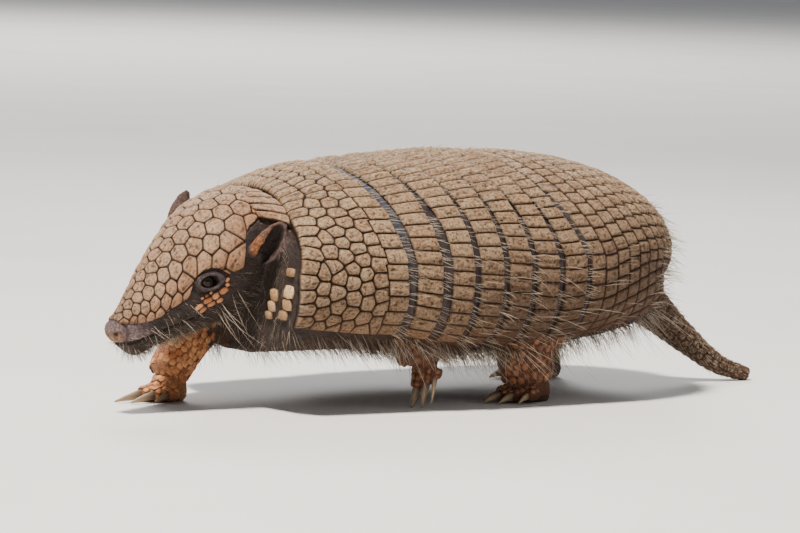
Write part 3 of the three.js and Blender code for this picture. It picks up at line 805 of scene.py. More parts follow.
# %% Head
NOSE = np.array([-267.5, -20, 66])
PITCH = math.radians(28)
YAW = math.radians(10.5)
HEAD_LENGTH = 132
FORWARD = np.array([-math.cos(YAW) * math.cos(PITCH), -math.sin(YAW) * math.cos(PITCH), -math.sin(PITCH)])
UPWARD = np.array([-math.cos(YAW) * math.sin(PITCH), -math.sin(YAW) * math.sin(PITCH), math.cos(PITCH)])
SIDEWARD = np.array([-math.sin(YAW), math.cos(YAW), 0])
STANCE_ZERO = stance(0.0, 0.0, 0.0)
STANCE_TURN = np.stack([stance(*way) - STANCE_ZERO for way in ((1.0, 0, 0), (0, 1.0, 0), (0, 0, 1.0))], 1)
HEAD_BACK = -FORWARD @ STANCE_TURN.T
WIDTHS = [[0, 4.6], [3, 7.4], [9, 8.2], [24, 12.5], [46, 19], [60, 23], [76, 28.5], [92, 35], [110, 38.5],
          [132, 38]]
TOPS = [[0, 3.6], [5, 5.6], [12, 6.6], [28, 12.2], [42, 18], [58, 23.6], [76, 28], [94, 30.2], [112, 29.6],
        [134, 25.5]]
BOTTOMS = [[0, -8], [4, -15], [9, -24], [24, -27.5], [40, -31], [64, -39], [90, -44], [132, -46]]
SHIELD_EDGE = [[6, 3], [14, -2], [23, -6.3], [44, -9], [53, -5.5], [61, 2], [69, 4], [77, 0.5], [83, -8],
               [89, -8.5], [95, 0], [104, 11], [116, 13]]
HEAD_ROUND = 0.88  # 1 would be an ellipse, and less is squarer
EYE_RADIUS = 5.0
EYE_PLACE = np.array([68.5, 21.3, -4.5])  # back, out and up


def head_spot(back, out, up):
    """The place in the frame, in millimetres."""
    back, out, up = (np.asarray(v, float)[..., None] for v in (back, out, up))
    level = NOSE - back * FORWARD + out * SIDEWARD + up * UPWARD
    return stance(*np.moveaxis(level, -1, 0))


def head_numbers(points):
    """The way back: from points in the frame to back, out and up."""
    level = (points - STANCE_ZERO) @ STANCE_TURN
    apart = level - NOSE
    return -apart @ FORWARD, apart @ SIDEWARD, apart @ UPWARD


def head_point(back, angle, depth=0.0):
    """A place on the head's skin, or at a depth under it. The angle counts from the top line."""
    back, angle, depth = np.broadcast_arrays(np.asarray(back, float), angle, depth)
    top, bottom = track(TOPS, back), track(BOTTOMS, back)
    middle = (top + bottom) / 2
    c = np.cos(angle)
    reach = (top - bottom) / 2
    up = middle + np.maximum(reach - depth, 1.5) * power(c, np.where(c >= 0, HEAD_ROUND, 0.95))
    out = np.maximum(track(WIDTHS, back) - depth, 1.5) * power(np.sin(angle), 0.9)
    return head_spot(back, out, up)


def shield_angle(back):
    """The angle at which the head shield ends."""
    top, bottom = track(TOPS, back), track(BOTTOMS, back)
    middle = (top + bottom) / 2
    share = np.clip((track(SHIELD_EDGE, back) - middle) / (top - middle), 0, 0.98)
    return np.arccos(share ** (1 / HEAD_ROUND))


print("nose at", head_spot(0, 0, 0).round(1))
print("left eye at", head_spot(*EYE_PLACE * [1, -1, 1]).round(1))

# %% [markdown]
# ## Head shield
# The scutes on the head are polygons in cross rows, large and flat at the back and small towards the snout,
# the same on both sides. The seeds are set in rows of growing width, each row shifted against the last,
# with a little disorder. The shield lies on the skin, stands out by less than a millimetre, and is cut out
# round each eye.

# %% Head shield
SHIELD_THICKNESS = 3.0
SHIELD_START = 6.5  # behind the nose
PROUD = 0.7  # how far the shield stands out of the skin
SEED_SPACING = [[8, 30, 60, 100, 130], [5.6, 7.6, 10.2, 12.4, 12.8]]  # behind the nose, and the spacing


def over_head(back, angle):
    """Distance from the middle line over the curve of the head."""
    steps = np.linspace(0, 1, 24)
    line = head_point(back[:, None], angle[:, None] * steps)
    return np.linalg.norm(np.diff(line, axis=1), axis=2).sum(1)


def head_seeds():
    """Cross rows of seeds, of growing width, each shifted by half a scute against the one before."""
    rows, back, shift = [], 9.0, 0
    while back < 137:
        size = float(np.interp(back, *SEED_SPACING))
        widest = float(over_head(np.array([back]), np.array([shield_angle(back)]))[0])
        count = max(2 * round(widest / size) + shift, 2)
        for k in range(count):
            y = (k - (count - 1) / 2) * size * 1.04
            jitter = chance.uniform(-0.13, 0.13, 2) * size
            rows.append((back - 0.0022 * y * y + jitter[0], y + jitter[1]))
        back += size * 0.9
        shift = 1 - shift
    return np.array(rows)


def head_shield():
    mesh, a, b, top = slab("head_shield_scutes", 220, 190)
    side = mix(-1, 1, b)
    rear = HEAD_LENGTH - 15 * side**2
    back = mix(SHIELD_START, rear, a)
    angle = side * shield_angle(back)
    y = np.sign(side) * over_head(back, np.abs(angle))
    seeds = head_seeds()
    key, edge = cells(back, y, seeds, 0.4)
    lx, ly = back - seeds[key, 0], y - seeds[key, 1]
    small = np.interp(back, [10, 50], [0.6, 1.0])
    height, rise = scute(edge / small, lx, ly, key, ridges=0.12, groove=0.95)
    reach = over_head(back, shield_angle(back))
    rim = np.minimum(np.minimum(back - SHIELD_START, rear - back), reach - np.abs(y))
    lift = np.where(top, PROUD + height * 0.75 * small - rolled(rim, 1.1), -SHIELD_THICKNESS)
    points = head_point(back, angle, -lift)
    tint = lattice(key, 8, 1)
    warm = 0.35 * step(0.45, 1, np.abs(side)) + 0.2 * wander(back / 14, y / 14, 6)
    dusk = 0.3 * (1 - step(8, 40, back))
    finish_plate(mesh, top, points, rise, tint, warm, dusk, grain_map(lx, ly, tint))
    return show("head_shield_scutes", mesh, head_horn, "shell_plate", "head_shield")


# %% [markdown]
# ## Nuchal band
# Between the head and the shoulders one band of small rectangular scutes crosses the neck. It is made as
# the bands of the back are, on the neck's own surface.

# %% Neck and nuchal band
NUCHAL = (0.1, 0.9)  # where on the way from the head to the shoulders it starts and ends
NUCHAL_REACH = math.radians(54)
NUCHAL_RADIUS = 41
NUCHAL_SCUTES = 11
NUCHAL_RISE = 6.5  # the band rises backwards, up to the edge of the shoulder shield


def head_rear(angle):
    """Where the head ends and the neck begins."""
    return HEAD_LENGTH - 8 - 27 * (0.5 - 0.5 * np.cos(angle))


def neck_point(t, angle, grow=0.0):
    """A place on the neck, from the head (0) to the shoulders (1), and grow out of its skin."""
    t, angle, grow = np.broadcast_arrays(np.asarray(t, float), angle, grow)
    start = head_point(head_rear(angle) - 1, angle, 3 - grow)
    end = body_point(0.02, angle, SHELL_THICKNESS + 7 - grow, grow)
    bulge = 2.5 * np.sin(math.pi * t)
    swell = np.stack([(t - 1) * grow, bulge * np.sin(angle), bulge * np.cos(angle)], -1)
    return mix(start, end, t[..., None]) + swell


def nuchal_band():
    count = NUCHAL_SCUTES
    mesh, a, b, top = slab("nuchal_band_scutes", 30, count * 12)
    t = mix(NUCHAL[0], NUCHAL[1], a)
    angle = mix(-1, 1, b) * NUCHAL_REACH
    long = float(np.linalg.norm(neck_point(NUCHAL[1], 0.4) - neck_point(NUCHAL[0], 0.4)))
    wide = 2 * NUCHAL_REACH * NUCHAL_RADIUS / count
    column = np.clip(np.floor(b * count), 0, count - 1)
    x, y = (a - 0.5) * long, (b * count - column - 0.5) * wide
    edge = inside_box(x, y, long / 2 + 0.3, wide / 2, 1.4)
    height, rise = scute(edge, x, y, column + 700, ridges=0.4)
    rim = np.minimum(np.minimum(a, 1 - a) * long, np.minimum(b, 1 - b) * count * wide)
    lift = 1.7 + NUCHAL_RISE * t**1.2 + 0.9 * height - rolled(rim, 1.0)
    points = neck_point(t, angle, np.where(top, lift, -1.2))
    tint = lattice(column, 9, 1)
    warm, dusk = np.full(len(a), 0.15), np.full(len(a), 0.1)
    finish_plate(mesh, top, points, rise, tint, warm, dusk, grain_map(x, y, tint))
    return show("nuchal_band_scutes", mesh, head_horn, "shell_plate", "nuchal_band")


head_shield()
nuchal_band()

# %% [markdown]
# ## Solid shapes of the flesh
# Trunk, neck, head, legs, tail and ears are each a closed shape drawn through rings. A sphere has just the
# net that such a shape needs: rings from pole to pole. So each starts as a sphere from bmesh, and its rings
# are moved to where the body has them.

# %% Lofts and limbs
POLE_POINTS = 24


def loft(name, along, around, ring):
    """A closed shape through rings, and t and the angle of each of its corners. ring(t, angle) gives
    points, and t runs from 0 to 1."""
    bm = bmesh.new()
    levels = along + 2
    bmesh.ops.create_uvsphere(bm, u_segments=around, v_segments=levels, radius=1)
    mesh = as_mesh(bm, name)
    ball = points_of(mesh)
    level = np.round(np.arccos(np.clip(ball[:, 2], -1, 1)) / math.pi * levels)
    angle = np.arctan2(ball[:, 1], ball[:, 0])
    t = np.clip((level - 1) / along, 0, 1)
    points = ring(t, angle)
    turns = np.linspace(0, 2 * math.pi, POLE_POINTS, endpoint=False)
    for pole, end in ((0, 0.0), (levels, 1.0)):
        points[level == pole] = ring(np.full(POLE_POINTS, end), turns).mean(0)
    place_points(mesh, points)
    face_out(mesh)
    return mesh, t, angle


def path_point(path, t):
    """A point of a smooth path, and the way it runs there."""
    path = np.array(path, float)
    knots = np.arange(len(path)) / (len(path) - 1)

    def at(when):
        return np.stack([track(np.stack([knots, path[:, k]], 1), when) for k in range(3)], -1)

    way = at(np.clip(t + 0.01, 0, 1)) - at(np.clip(t - 0.01, 0, 1))
    return at(t), way / np.linalg.norm(way, axis=-1, keepdims=True)


def even_track(values, t):
    """A smooth curve through values that are evenly spaced from 0 to 1."""
    return track([[i / (len(values) - 1), value] for i, value in enumerate(values)], t)


def limb_point(path, across, deep, t, angle, grow=0.0):
    """A place on a limb: a path with oval sections, given by their half widths across and deep."""
    centre, way = path_point(path, t)
    side = np.array([0, 1, 0]) - way * way[:, 1:2]
    side /= np.linalg.norm(side, axis=1, keepdims=True)
    other = np.cross(way, side)
    half, thick = ((even_track(values, t) + grow)[:, None] for values in (across, deep))
    return centre + side * half * np.cos(angle)[:, None] + other * thick * np.sin(angle)[:, None]


def limb(name, path, across, deep, along, around, grow=0.0):
    return loft(name, along, around, lambda t, angle: limb_point(path, across, deep, t, angle, grow))[0]


# %% Legs, feet and claws, on the ground
FORE_DIGITS = dict(across=[-1, -0.55, 0, 0.5, 0.95], angle=[-16, -7, 0, 8, 20], length=[8, 12, 14, 11, 7],
                   radius=[4.2, 5, 5.4, 5, 4.4], claw=[12, 18, 19, 16, 12])
HIND_DIGITS = dict(across=[-1, -0.5, 0, 0.5, 1], angle=[-14, -6, 0, 6, 16], length=[8, 14, 16, 14, 9],
                   radius=[4.4, 5.2, 5.4, 5.2, 4.6], claw=[9, 12, 13, 12, 10])
LEGS = {
    "fore_leg_left": dict(path=[(-96, -50, 86), (-82, -56, 66), (-64, -57, 50), (-56, -57, 34)],
                          across=[20, 17, 14, 12], deep=[24, 20, 16.5, 14.5], heel=(-53, -57, 36),
                          ball=(-54, -57, 26.5), width=14, height=11.5, heading=-0.1, dip=1.35, out=-1,
                          plant=-0.7, digits=FORE_DIGITS),
    "fore_leg_right": dict(path=[(-114, 46, 84), (-143, 42, 64), (-171, 36, 44), (-194, 32, 17)],
                           across=[20, 17, 14, 13], deep=[24, 19, 15, 13], heel=(-185, 32, 11),
                           ball=(-199, 31, 6.5), width=15, height=12, heading=-0.05, dip=0.1, out=1,
                           plant=1.2, digits=FORE_DIGITS),
    "hind_leg_left": dict(path=[(66, -46, 84), (44, -56, 62), (30, -58, 40), (32, -57, 15)],
                          across=[20, 18, 15.5, 13], deep=[30, 27, 22, 18], heel=(44, -57, 9),
                          ball=(24, -58, 6.5), width=14.5, height=11, heading=0.05, dip=0.1, out=-1,
                          plant=1.2, digits=HIND_DIGITS),
    "hind_leg_right": dict(path=[(104, 46, 88), (106, 52, 64), (116, 52, 42), (130, 50, 17)],
                           across=[20, 18, 14, 11], deep=[30, 25, 17, 12], heel=(136, 50, 9),
                           ball=(110, 50, 6.5), width=14.5, height=11, heading=-0.05, dip=0.1, out=1,
                           plant=1.2, digits=HIND_DIGITS),
}
TAIL_PATH = [(140, 0, 82), (164, -2, 64), (184, -6, 47), (206, -11, 29), (230, -15, 12.5), (255, -19, 3.9)]
TAIL_RADII = [19, 17.5, 13.2, 9.8, 7.2, 5.2]
SHIFT = np.array([CENTRE_X, 0, 0])
SPREAD = 0.72  # of the half width that the digits' roots take
STAGGER = 6  # how far the outer digits start behind the middle one
HELD = 3  # length of a claw inside its digit
flesh = []  # all the shapes that one skin will cover
claws = {}


def foot_ways(leg):
    """The ways forward and outward on the ground."""
    forward = np.array([-math.cos(leg["heading"]), -math.sin(leg["heading"]), 0])
    return forward, np.array([forward[1], -forward[0], 0]) * leg["out"]


def digit_lines(leg):
    """Start, way, way over the top, length, radius and claw of each digit, the inner one first."""
    forward, across = foot_ways(leg)
    digits = leg["digits"]
    lines = []
    for i in range(5):
        turn = math.radians(digits["angle"][i])
        flat_way = forward * math.cos(turn) + across * math.sin(turn)
        way = flat_way * math.cos(leg["dip"]) - np.array([0, 0, math.sin(leg["dip"])])
        start = np.array(leg["ball"]) + across * digits["across"][i] * leg["width"] * SPREAD
        start = start - forward * abs(digits["across"][i]) * STAGGER
        over_way = unit(np.array([0, 0, 1]) - way * way[2])
        lines.append((start, way, over_way, digits["length"][i], digits["radius"][i], digits["claw"][i]))
    return lines


def foot(name, leg):
    """A sole from heel to ball with five digits, and the claws that they carry."""
    heel, ball, width, height = np.array(leg["heel"]), np.array(leg["ball"]), leg["width"], leg["height"]
    sole = [heel, (heel + ball) / 2, ball]
    half = [width * 0.7, width * 0.85, width * 0.8]
    thick = [height, height * 0.9, height * 0.75]
    flesh.append(limb(name, sole, half, thick, 12, 24))
    for i, (start, way, over_way, length, r, claw) in enumerate(digit_lines(leg)):
        tip = start + way * length
        flesh.append(limb(name, [start, mix(start, tip, 0.6), tip], [r, r, r * 0.8], [r, r, r * 0.8], 10, 18))
        base = start + way * (length - HELD)
        reach = claw + HELD
        sink = min(base[2] - leg["plant"] + reach * way[2], 0.16 * reach + 2)
        claws[name.replace("leg", "claw") + "_%d" % (i + 1)] = dict(
            base=base, way=way, reach=reach, sink=sink, r=r, across=foot_ways(leg)[1], up=over_way)


for name, leg in LEGS.items():
    flesh.append(limb(name, leg["path"], leg["across"], leg["deep"], 40, 40))
    foot(name, leg)
flesh.append(limb("tail", TAIL_PATH, TAIL_RADII, TAIL_RADII, 60, 30, grow=-1.5))
for mesh in flesh:
    mesh.transform(Matrix.Translation(SHIFT * MM))
print("shapes of legs and tail:", len(flesh))

# %% [markdown]
# ## Trunk, neck, head and ears
# The trunk lies just under the shell and swells up a little in the grooves between the bands, where its
# bare blue-grey skin shows. Under the head shield the skin sinks back, to leave the shield its room. The
# ears are funnels that open outwards, a curved wall rolled nearly closed at the foot.

# %% Trunk, neck and head
SKIN_DEPTH = SHELL_THICKNESS + 0.45
SWELLING = 3.1  # of the skin in the grooves


def wrapped(angle):
    """The same angle, between minus and plus half a turn."""
    return (angle + math.pi) % (2 * math.pi) - math.pi


def trunk_ring(t, angle):
    s = mix(-0.02, END - 0.02, t)
    number = np.clip(np.round(s - 0.1), 1, LAST)
    half_gap = np.where(number == 1, FIRST_GROOVE, GROOVE) / SIDE_PITCH / 2
    swell = np.exp(-(((s - number - half_gap) / (half_gap * 0.62)) ** 2))
    turn = wrapped(angle)
    covered = np.abs(turn) < hem_angle(s) + 0.02
    return body_point(s, turn, SKIN_DEPTH - np.where(covered, SWELLING * swell, 0))


def head_ring(t, angle):
    turn = wrapped(angle)
    back = mix(4.5, head_rear(turn), t**1.35)
    under = step(6, 9, back) * (1 - step(-0.06, 0.02, np.abs(turn) - shield_angle(back)))
    return head_point(back, turn, 1.6 * under)


def neck_ring(t, angle):
    turn = wrapped(angle)
    return neck_point(mix(-0.05, 1.05, t), turn, 0.0)


flesh.append(loft("trunk", 260, 96, trunk_ring)[0])
flesh.append(loft("head", 110, 72, head_ring)[0])
flesh.append(loft("neck", 24, 72, neck_ring)[0])
NOSE_PAD = np.array([4.6, 0, -2.9])  # back, out, up
NOSE_SIZE = np.array([4.9, 7.6, 6.6])


def nose_ring(t, angle):
    turn = np.pi * np.clip(t, 0.001, 0.999)
    back = NOSE_PAD[0] - NOSE_SIZE[0] * np.cos(turn)
    out = NOSE_SIZE[1] * power(np.sin(turn), 0.8) * np.cos(angle)
    return head_spot(back, out, NOSE_PAD[2] + NOSE_SIZE[2] * power(np.sin(turn), 0.8) * np.sin(angle))


flesh.append(loft("nose", 14, 28, nose_ring)[0])

# %% Ears
EAR_LENGTH = 31.0
EAR_HALF_WIDTH = 9.4
EAR_THICKNESS = 2.1
EAR_RIM = 4.4  # how much thicker the front rim is
EARS = {  # side, then root, tip and the way it opens as back, out and up on the head
    "ear_left": (-1, np.array([102, 36.5, -6]), np.array([117, 54, 10]), np.array([-60, 70, 20])),
    "ear_right": (1, np.array([108, 34.5, 0]), np.array([131, 41, 21]), np.array([-25, 95, 20])),
}


def ear_shape(a):
    """Radius of the cup and how far it closes round, along the ear from 0 to 1."""
    radius = EAR_HALF_WIDTH * np.sqrt(np.sin(math.pi * np.clip(a * 0.86 + 0.1, 0, 1))) * (1.02 - 0.1 * a)
    return radius, mix(2.2, 1.25, power(a, 0.8))


def ear(name, side, foot_place, tip_place, open_way):
    """Adds an ear to the flesh. Gives its root and the ways along it, out of its opening and across it."""
    flip = np.array([1, side, 1])
    root, tip = head_spot(*(foot_place * flip)), head_spot(*(tip_place * flip))
    along = (tip - root) / np.linalg.norm(tip - root)
    facing = head_spot(*(open_way * flip)) - head_spot(0, 0, 0)
    facing = unit(facing - along * (facing @ along))
    wide = np.cross(along, facing)
    mesh, a, b, outer = slab(name, 40, 48, False)
    front = side * mix(-1, 1, b)
    radius, closed = ear_shape(a)
    turn = mix(-1, 1, b) * closed
    thick = EAR_THICKNESS + EAR_RIM * step(0.35, 0.95, front) * (1 - step(0.45, 0.95, a))
    wall = np.maximum(radius - np.where(outer, 0, thick), 0.6)
    reach = EAR_LENGTH * a - np.where(outer, 0, 1.2 * a)
    flat = np.stack([reach, wall * np.sin(turn), radius * 0.9 - wall * np.cos(turn)], -1)
    points = root + flat[:, :1] * along + flat[:, 1:2] * wide + flat[:, 2:] * facing
    place_points(mesh, points)
    face_out(mesh)
    flesh.append(mesh)
    return root, along, facing, wide


ear_frames = {name: ear(name, *facts) for name, facts in EARS.items()}

# %% [markdown]
# ## One skin over all the flesh
# Real skin has no seams where a leg meets the body. The shapes overlap, so a voxel remesh, which fills
# space with small cubes and wraps what is full, turns them into one closed surface and rounds every joint a
# little. A boolean union would keep the hard creases. Smoothing follows, and the trunk, which the shell
# hides, gets fewer faces.

# %% Remesh
VOXEL = 0.0013  # metres
HIDDEN = dict(front=-120, rear=150, above=75)  # the part of the trunk that the shell covers
KEPT_SHARE = 0.42  # of the faces


def applied(obj):
    """The mesh as its modifiers leave it, in the same object without them."""
    graph = bpy.context.evaluated_depsgraph_get()
    made = bpy.data.meshes.new_from_object(obj.evaluated_get(graph))
    obj.modifiers.clear()
    old = obj.data
    obj.data = made
    bpy.data.meshes.remove(old)
    return made


bm = bmesh.new()
for mesh in flesh:
    bm.from_mesh(mesh)
skin_mesh = as_mesh(bm, "skin")
skin = bpy.data.objects.new("skin", skin_mesh)
bpy.context.scene.collection.objects.link(skin)
wrap = skin.modifiers.new("wrap", "REMESH")
wrap.mode = "VOXEL"
wrap.voxel_size = VOXEL
skin_mesh = applied(skin)
bm = bmesh.new()
bm.from_mesh(skin_mesh)
for _ in range(3):
    bmesh.ops.smooth_vert(bm, verts=bm.verts, factor=0.5, use_axis_x=True, use_axis_y=True, use_axis_z=True)
bm.to_mesh(skin_mesh)
bm.free()
print("skin after the remesh:", len(skin_mesh.polygons), "faces")

# %% Fewer faces where the shell hides the trunk
x, z = (points_of(skin_mesh) / MM)[:, [0, 2]].T
hidden = (x > HIDDEN["front"]) & (x < HIDDEN["rear"]) & (z > HIDDEN["above"])
flank = ~hidden & (np.abs(x) < 150) & (z > 30)
plain = hidden * 1.0 + flank * 0.5
group = skin.vertex_groups.new(name="plain")
for weight in (0.5, 1.0):
    group.add(np.nonzero(plain == weight)[0].tolist(), weight, "REPLACE")
thin = skin.modifiers.new("thin", "DECIMATE")
thin.ratio = KEPT_SHARE
thin.vertex_group = "plain"
skin_mesh = applied(skin)
skin.vertex_groups.clear()
print("skin with fewer faces:", sum(len(p.vertices) - 2 for p in skin_mesh.polygons), "triangles")

# %% [markdown]
# ## The face
# The small forms of the face need a finer net than the rest: lids that fit the eyeball, a soft nose pad
# with nostrils, the slit of the mouth and wrinkles behind it. Faces there are divided, and then each corner
# is moved along the skin's own direction by an amount that depends on where it lies on the head. Sculpting
# by hand would do as well, but measures can be checked against the eyes and the head shield.

# %% A finer net round eyes, nose and mouth
MOUTH_LINE = [[-6, -8], [2, -10], [15, -14.5], [35, -18], [62, -24]]  # height along the head
MOUTH_END = 62
HEAD_LIMIT = -130  # the face lies in front of this x
SHORTEST_EDGE = 0.0006  # metres


def face_distance(points):
    """Distance in millimetres to the nearest place that needs fine forms."""
    back, out, up = head_numbers(points)
    to_eye = np.sqrt((back - EYE_PLACE[0]) ** 2 + (np.abs(out) - 25) ** 2 + (up - EYE_PLACE[2]) ** 2) - 12
    to_nose = np.sqrt((back - 3) ** 2 + out**2 + (up + 3) ** 2) - 11
    past_ends = np.maximum(back - MOUTH_END, 0) + np.maximum(-2 - back, 0)
    mouth = np.abs(up - track(MOUTH_LINE, back)) + past_ends
    return np.minimum(np.minimum(to_eye, to_nose), mouth - 3)


bm = bmesh.new()
bm.from_mesh(skin_mesh)
for reach in (2.0, 0):
    bm.verts.ensure_lookup_table()
    spots = np.array([v.co for v in bm.verts]) / MM
    near = (spots[:, 0] < HEAD_LIMIT) & (face_distance(spots) < reach)
    edges = [e for e in bm.edges if all(near[v.index] for v in e.verts) and e.calc_length() > SHORTEST_EDGE]
    bmesh.ops.subdivide_edges(bm, edges=edges, cuts=1, use_grid_fill=True)
    bm.verts.index_update()
bmesh.ops.triangulate(bm, faces=bm.faces[:])
bm.to_mesh(skin_mesh)
bm.free()
print("skin with a fine face:", len(skin_mesh.polygons), "triangles")

# %% Lids, nose, mouth and wrinkles
points = points_of(skin_mesh) / MM
normals = directions_of(skin_mesh)
back, out, up = head_numbers(points)
on_head = points[:, 0] < HEAD_LIMIT
SLIT_TILT = math.radians(19)
LID_PROFILE = [[0, -6.5], [3.5, -6.0], [4.3, -1.6], [5.0, 0.3], [6.0, 1.2], [7.4, 1.0], [8.4, -0.7],
               [9.4, -1.0], [11, -0.2], [14, 0]]  # height at each distance from the eye's middle
NOSTRIL = np.array([1.6, 4.6, -2.2])
PAD_EDGE = 9.2  # radius of the groove round the nose pad


def eye_numbers(back, up):
    """Place round the eye: along its slit and across it."""
    p, q = back - EYE_PLACE[0], up - EYE_PLACE[2]
    c, d = math.cos(SLIT_TILT), math.sin(SLIT_TILT)
    return p * c - q * d, p * d + q * c


def pad_distance(back, out, up):
    """Distance from the middle of the nose pad, which is wider than high."""
    return np.sqrt((back - 2) ** 2 + (out / 1.15) ** 2 + (up + 3) ** 2)


def hill(distance, width, height):
    """A soft rise, or a dent where height is below 0."""
    return height * np.exp(-((distance / width) ** 2))


along_slit, over_slit = eye_numbers(back, up)
ring = np.hypot(along_slit / 1.2, over_slit / np.where(over_slit > 0, 0.8, 0.74))
ring = ring - 1.1 * np.exp(-(((along_slit - 7) / 3.5) ** 2) - (over_slit / 1.6) ** 2)
beside = on_head & (np.abs(out) > 12) & (ring < 16)
waves = 0.28 * np.sin(ring * 4.2 + 1.5 * wander(along_slit / 3, over_slit / 3, 4))
creases = waves * step(5.5, 6.5, ring) * (1 - step(10, 13, ring))
outward = np.where(out > 0, 1.0, -1.0)[:, None] * SIDEWARD @ STANCE_TURN.T
move = (beside * (track(LID_PROFILE, ring) + creases))[:, None] * outward
over_mouth = up - track(MOUTH_LINE, back)
in_mouth = on_head * step(-3, 2, back) * (1 - step(57, 63, back)) * (np.abs(out) < 30)
lips = hill(over_mouth, 0.75, -2.3) + hill(over_mouth - 2.4, 1.5, 0.75) + hill(over_mouth + 2.2, 1.5, 0.35)
move += (in_mouth * lips)[:, None] * normals
hole = np.sqrt(((back - NOSTRIL[0]) / 1.3) ** 2 + (np.abs(out) - NOSTRIL[1]) ** 2 + (up - NOSTRIL[2]) ** 2)
nostril = -2.6 * np.exp(-((hole / 1.25) ** 4)) + hill(hole - 2.3, 0.7, 0.35)
move += (on_head * nostril)[:, None] * normals
fold = wander(back / 3.4 + up / 9, up / 1.5 + back / 8, 12) + 0.5 * wander(back / 1.5, up / 1.1, 13) - 0.75
bare = on_head * step(8, 14, back) * (1 - step(0, 4, up - track(SHIELD_EDGE, back)))
move += (bare * 0.55 * fold * (1 - np.exp(-((ring / 8) ** 4))))[:, None] * normals
from_pad = pad_distance(back, out, up)
pad = hill(from_pad - PAD_EDGE, 0.8, -0.9) + hill(from_pad - 7, 1.6, 0.5)
move += (on_head * pad)[:, None] * normals
pebble = (wander(back / 1.1, out / 1.1 + up / 1.1, 14) - 0.5) * (on_head & (back < 9))
move += (0.22 * pebble)[:, None] * normals
place_points(skin_mesh, points + move)
print("largest move on the face:", round(float(np.abs(move).max()), 1), "mm")

# %% Soft folds on the neck, belly and legs
points = points_of(skin_mesh) / MM
normals = directions_of(skin_mesh)
folds = wander(points[:, 0] / 3.2, points[:, 2] / 9 + points[:, 1] / 9, 15) - 0.5
low = 1 - step(60, 78, points[:, 2])
behind = step(-170, -150, points[:, 0])
points += (0.9 * folds * low * behind)[:, None] * normals
points[:, 2] = np.maximum(points[:, 2], 0)
place_points(skin_mesh, points)
skin_mesh.shade_smooth()
print("the folds are up to", round(float(np.abs(0.9 * folds * low * behind).max()), 1), "mm high")

# %% [markdown]
# ## Colours of the skin
# The snout is mauve grey, the cheeks and neck are dark, the legs go from dark brown above to bright
# orange-tan on the feet, the ears are grey-violet with orange grains on the front rim, and the tail is
# brown. The far foreleg, which reaches into the light, is painted bright as lit, and the other legs dark as
# in shade; the inside of each ear is painted near black as shade. Each region is a number at every corner
# of the skin, from where it lies on the body, and the material mixes its colours by them.

# %% Regions of the skin
FAR_FORELEG = "fore_leg_right"  # the one that reaches forward into the light
spots = points_of(skin_mesh) / MM
back, out, up = head_numbers(spots)
x, y, z = spots.T


def near_path(points, path):
    """Distance to a path and the place along it."""
    steps = np.linspace(0, 1, 40)
    line = path_point(path, steps)[0] + SHIFT
    best, where = np.full(len(points), 1e9), np.zeros(len(points))
    for t, p in zip(steps, line):
        d = np.linalg.norm(points - p, axis=1)
        closer = d < best
        best[closer], where[closer] = d[closer], t
    return best, where


ear_mask, rim_mask, ear_hollow_shade, leg_mask = (np.zeros(len(spots)) for _ in range(4))
for name, (root, along, facing, wide) in ear_frames.items():
    rel = spots - root
    reach, across, open_way = rel @ along, rel @ wide, rel @ facing
    inside = (reach > 0.5) & (reach < 36) & (np.abs(across) < 13) & (open_way > -4) & (open_way < 20)
    radius, closed = ear_shape(np.clip(reach / EAR_LENGTH, 0, 1))
    side = EARS[name][0]
    turn = np.arctan2(across, radius * 0.9 - open_way) * side
    from_axis = np.hypot(across, radius * 0.9 - open_way)
    ear_mask = np.maximum(ear_mask, inside * step(1, 6, reach) * (1 - step(1.0, 2.2, from_axis - radius)))
    at_front = step(closed - 0.75, closed - 0.35, turn) * (1.0 if side < 0 else 0.15)
    rim_mask = np.maximum(rim_mask, inside * at_front * (1 - 0.75 * step(13, 19, reach)))
    # painted shade: the inside of each ear cup is to be near black
    hollow = step(1.0, 1.7, radius - from_axis) * (1 - step(closed - 0.5, closed - 0.25, np.abs(turn)))
    ear_hollow_shade = np.maximum(ear_hollow_shade, inside * hollow * (1 - step(26, 30, reach)))
for name, leg in LEGS.items():
    path = leg["path"] + [leg["ball"]]
    apart, where = near_path(spots, path)
    below = (apart < 34) & (z < 70)
    shaded = 0.9 * step(-176, -156, x) * (name == FAR_FORELEG)  # under the chin
    leg_mask = np.maximum(leg_mask, below * step(0.15, 0.5, where) * (1 - step(36, 52, z)) * (1 - shaded))
apart, where = near_path(spots, TAIL_PATH)
tail_mask = (apart < 24) * step(150, 165, x)
head_mask = (1 - step(-150, -140, x)) * (1 - step(110, 122, back))
over_mouth = up - track(MOUTH_LINE, back)
snout_mask = head_mask * (1 - step(9, 30, back)) * step(-1.2, 0.6, over_mouth)
chin_mask = head_mask * (1 - step(-2.5, 0.2, over_mouth)) * (1 - step(60, 90, back))
tip_mask = head_mask * np.exp(-(((back + 0.5) / 4.5) ** 2) - ((up + 5) / 4.5) ** 2)
pit_mask = head_mask * hill(pad_distance(back, out, up) - PAD_EDGE, 0.9, 0.7)
along_slit, over_slit = eye_numbers(back, up)
ring = np.hypot(along_slit / 1.2, over_slit / 0.78) + 30 * (np.abs(out) < 12)
lid_mask = head_mask * step(4.6, 5.2, ring) * (1 - step(6.8, 8.0, ring))
slit_mask = head_mask * (1 - step(4.6, 5.6, ring))
fading = mix(0.95, 0.3, step(-90, -70, x - 0.25 * (z - 100)))
groove_mask = step(-150, -138, x) * (1 - tail_mask) * step(52, 64, z) * fading
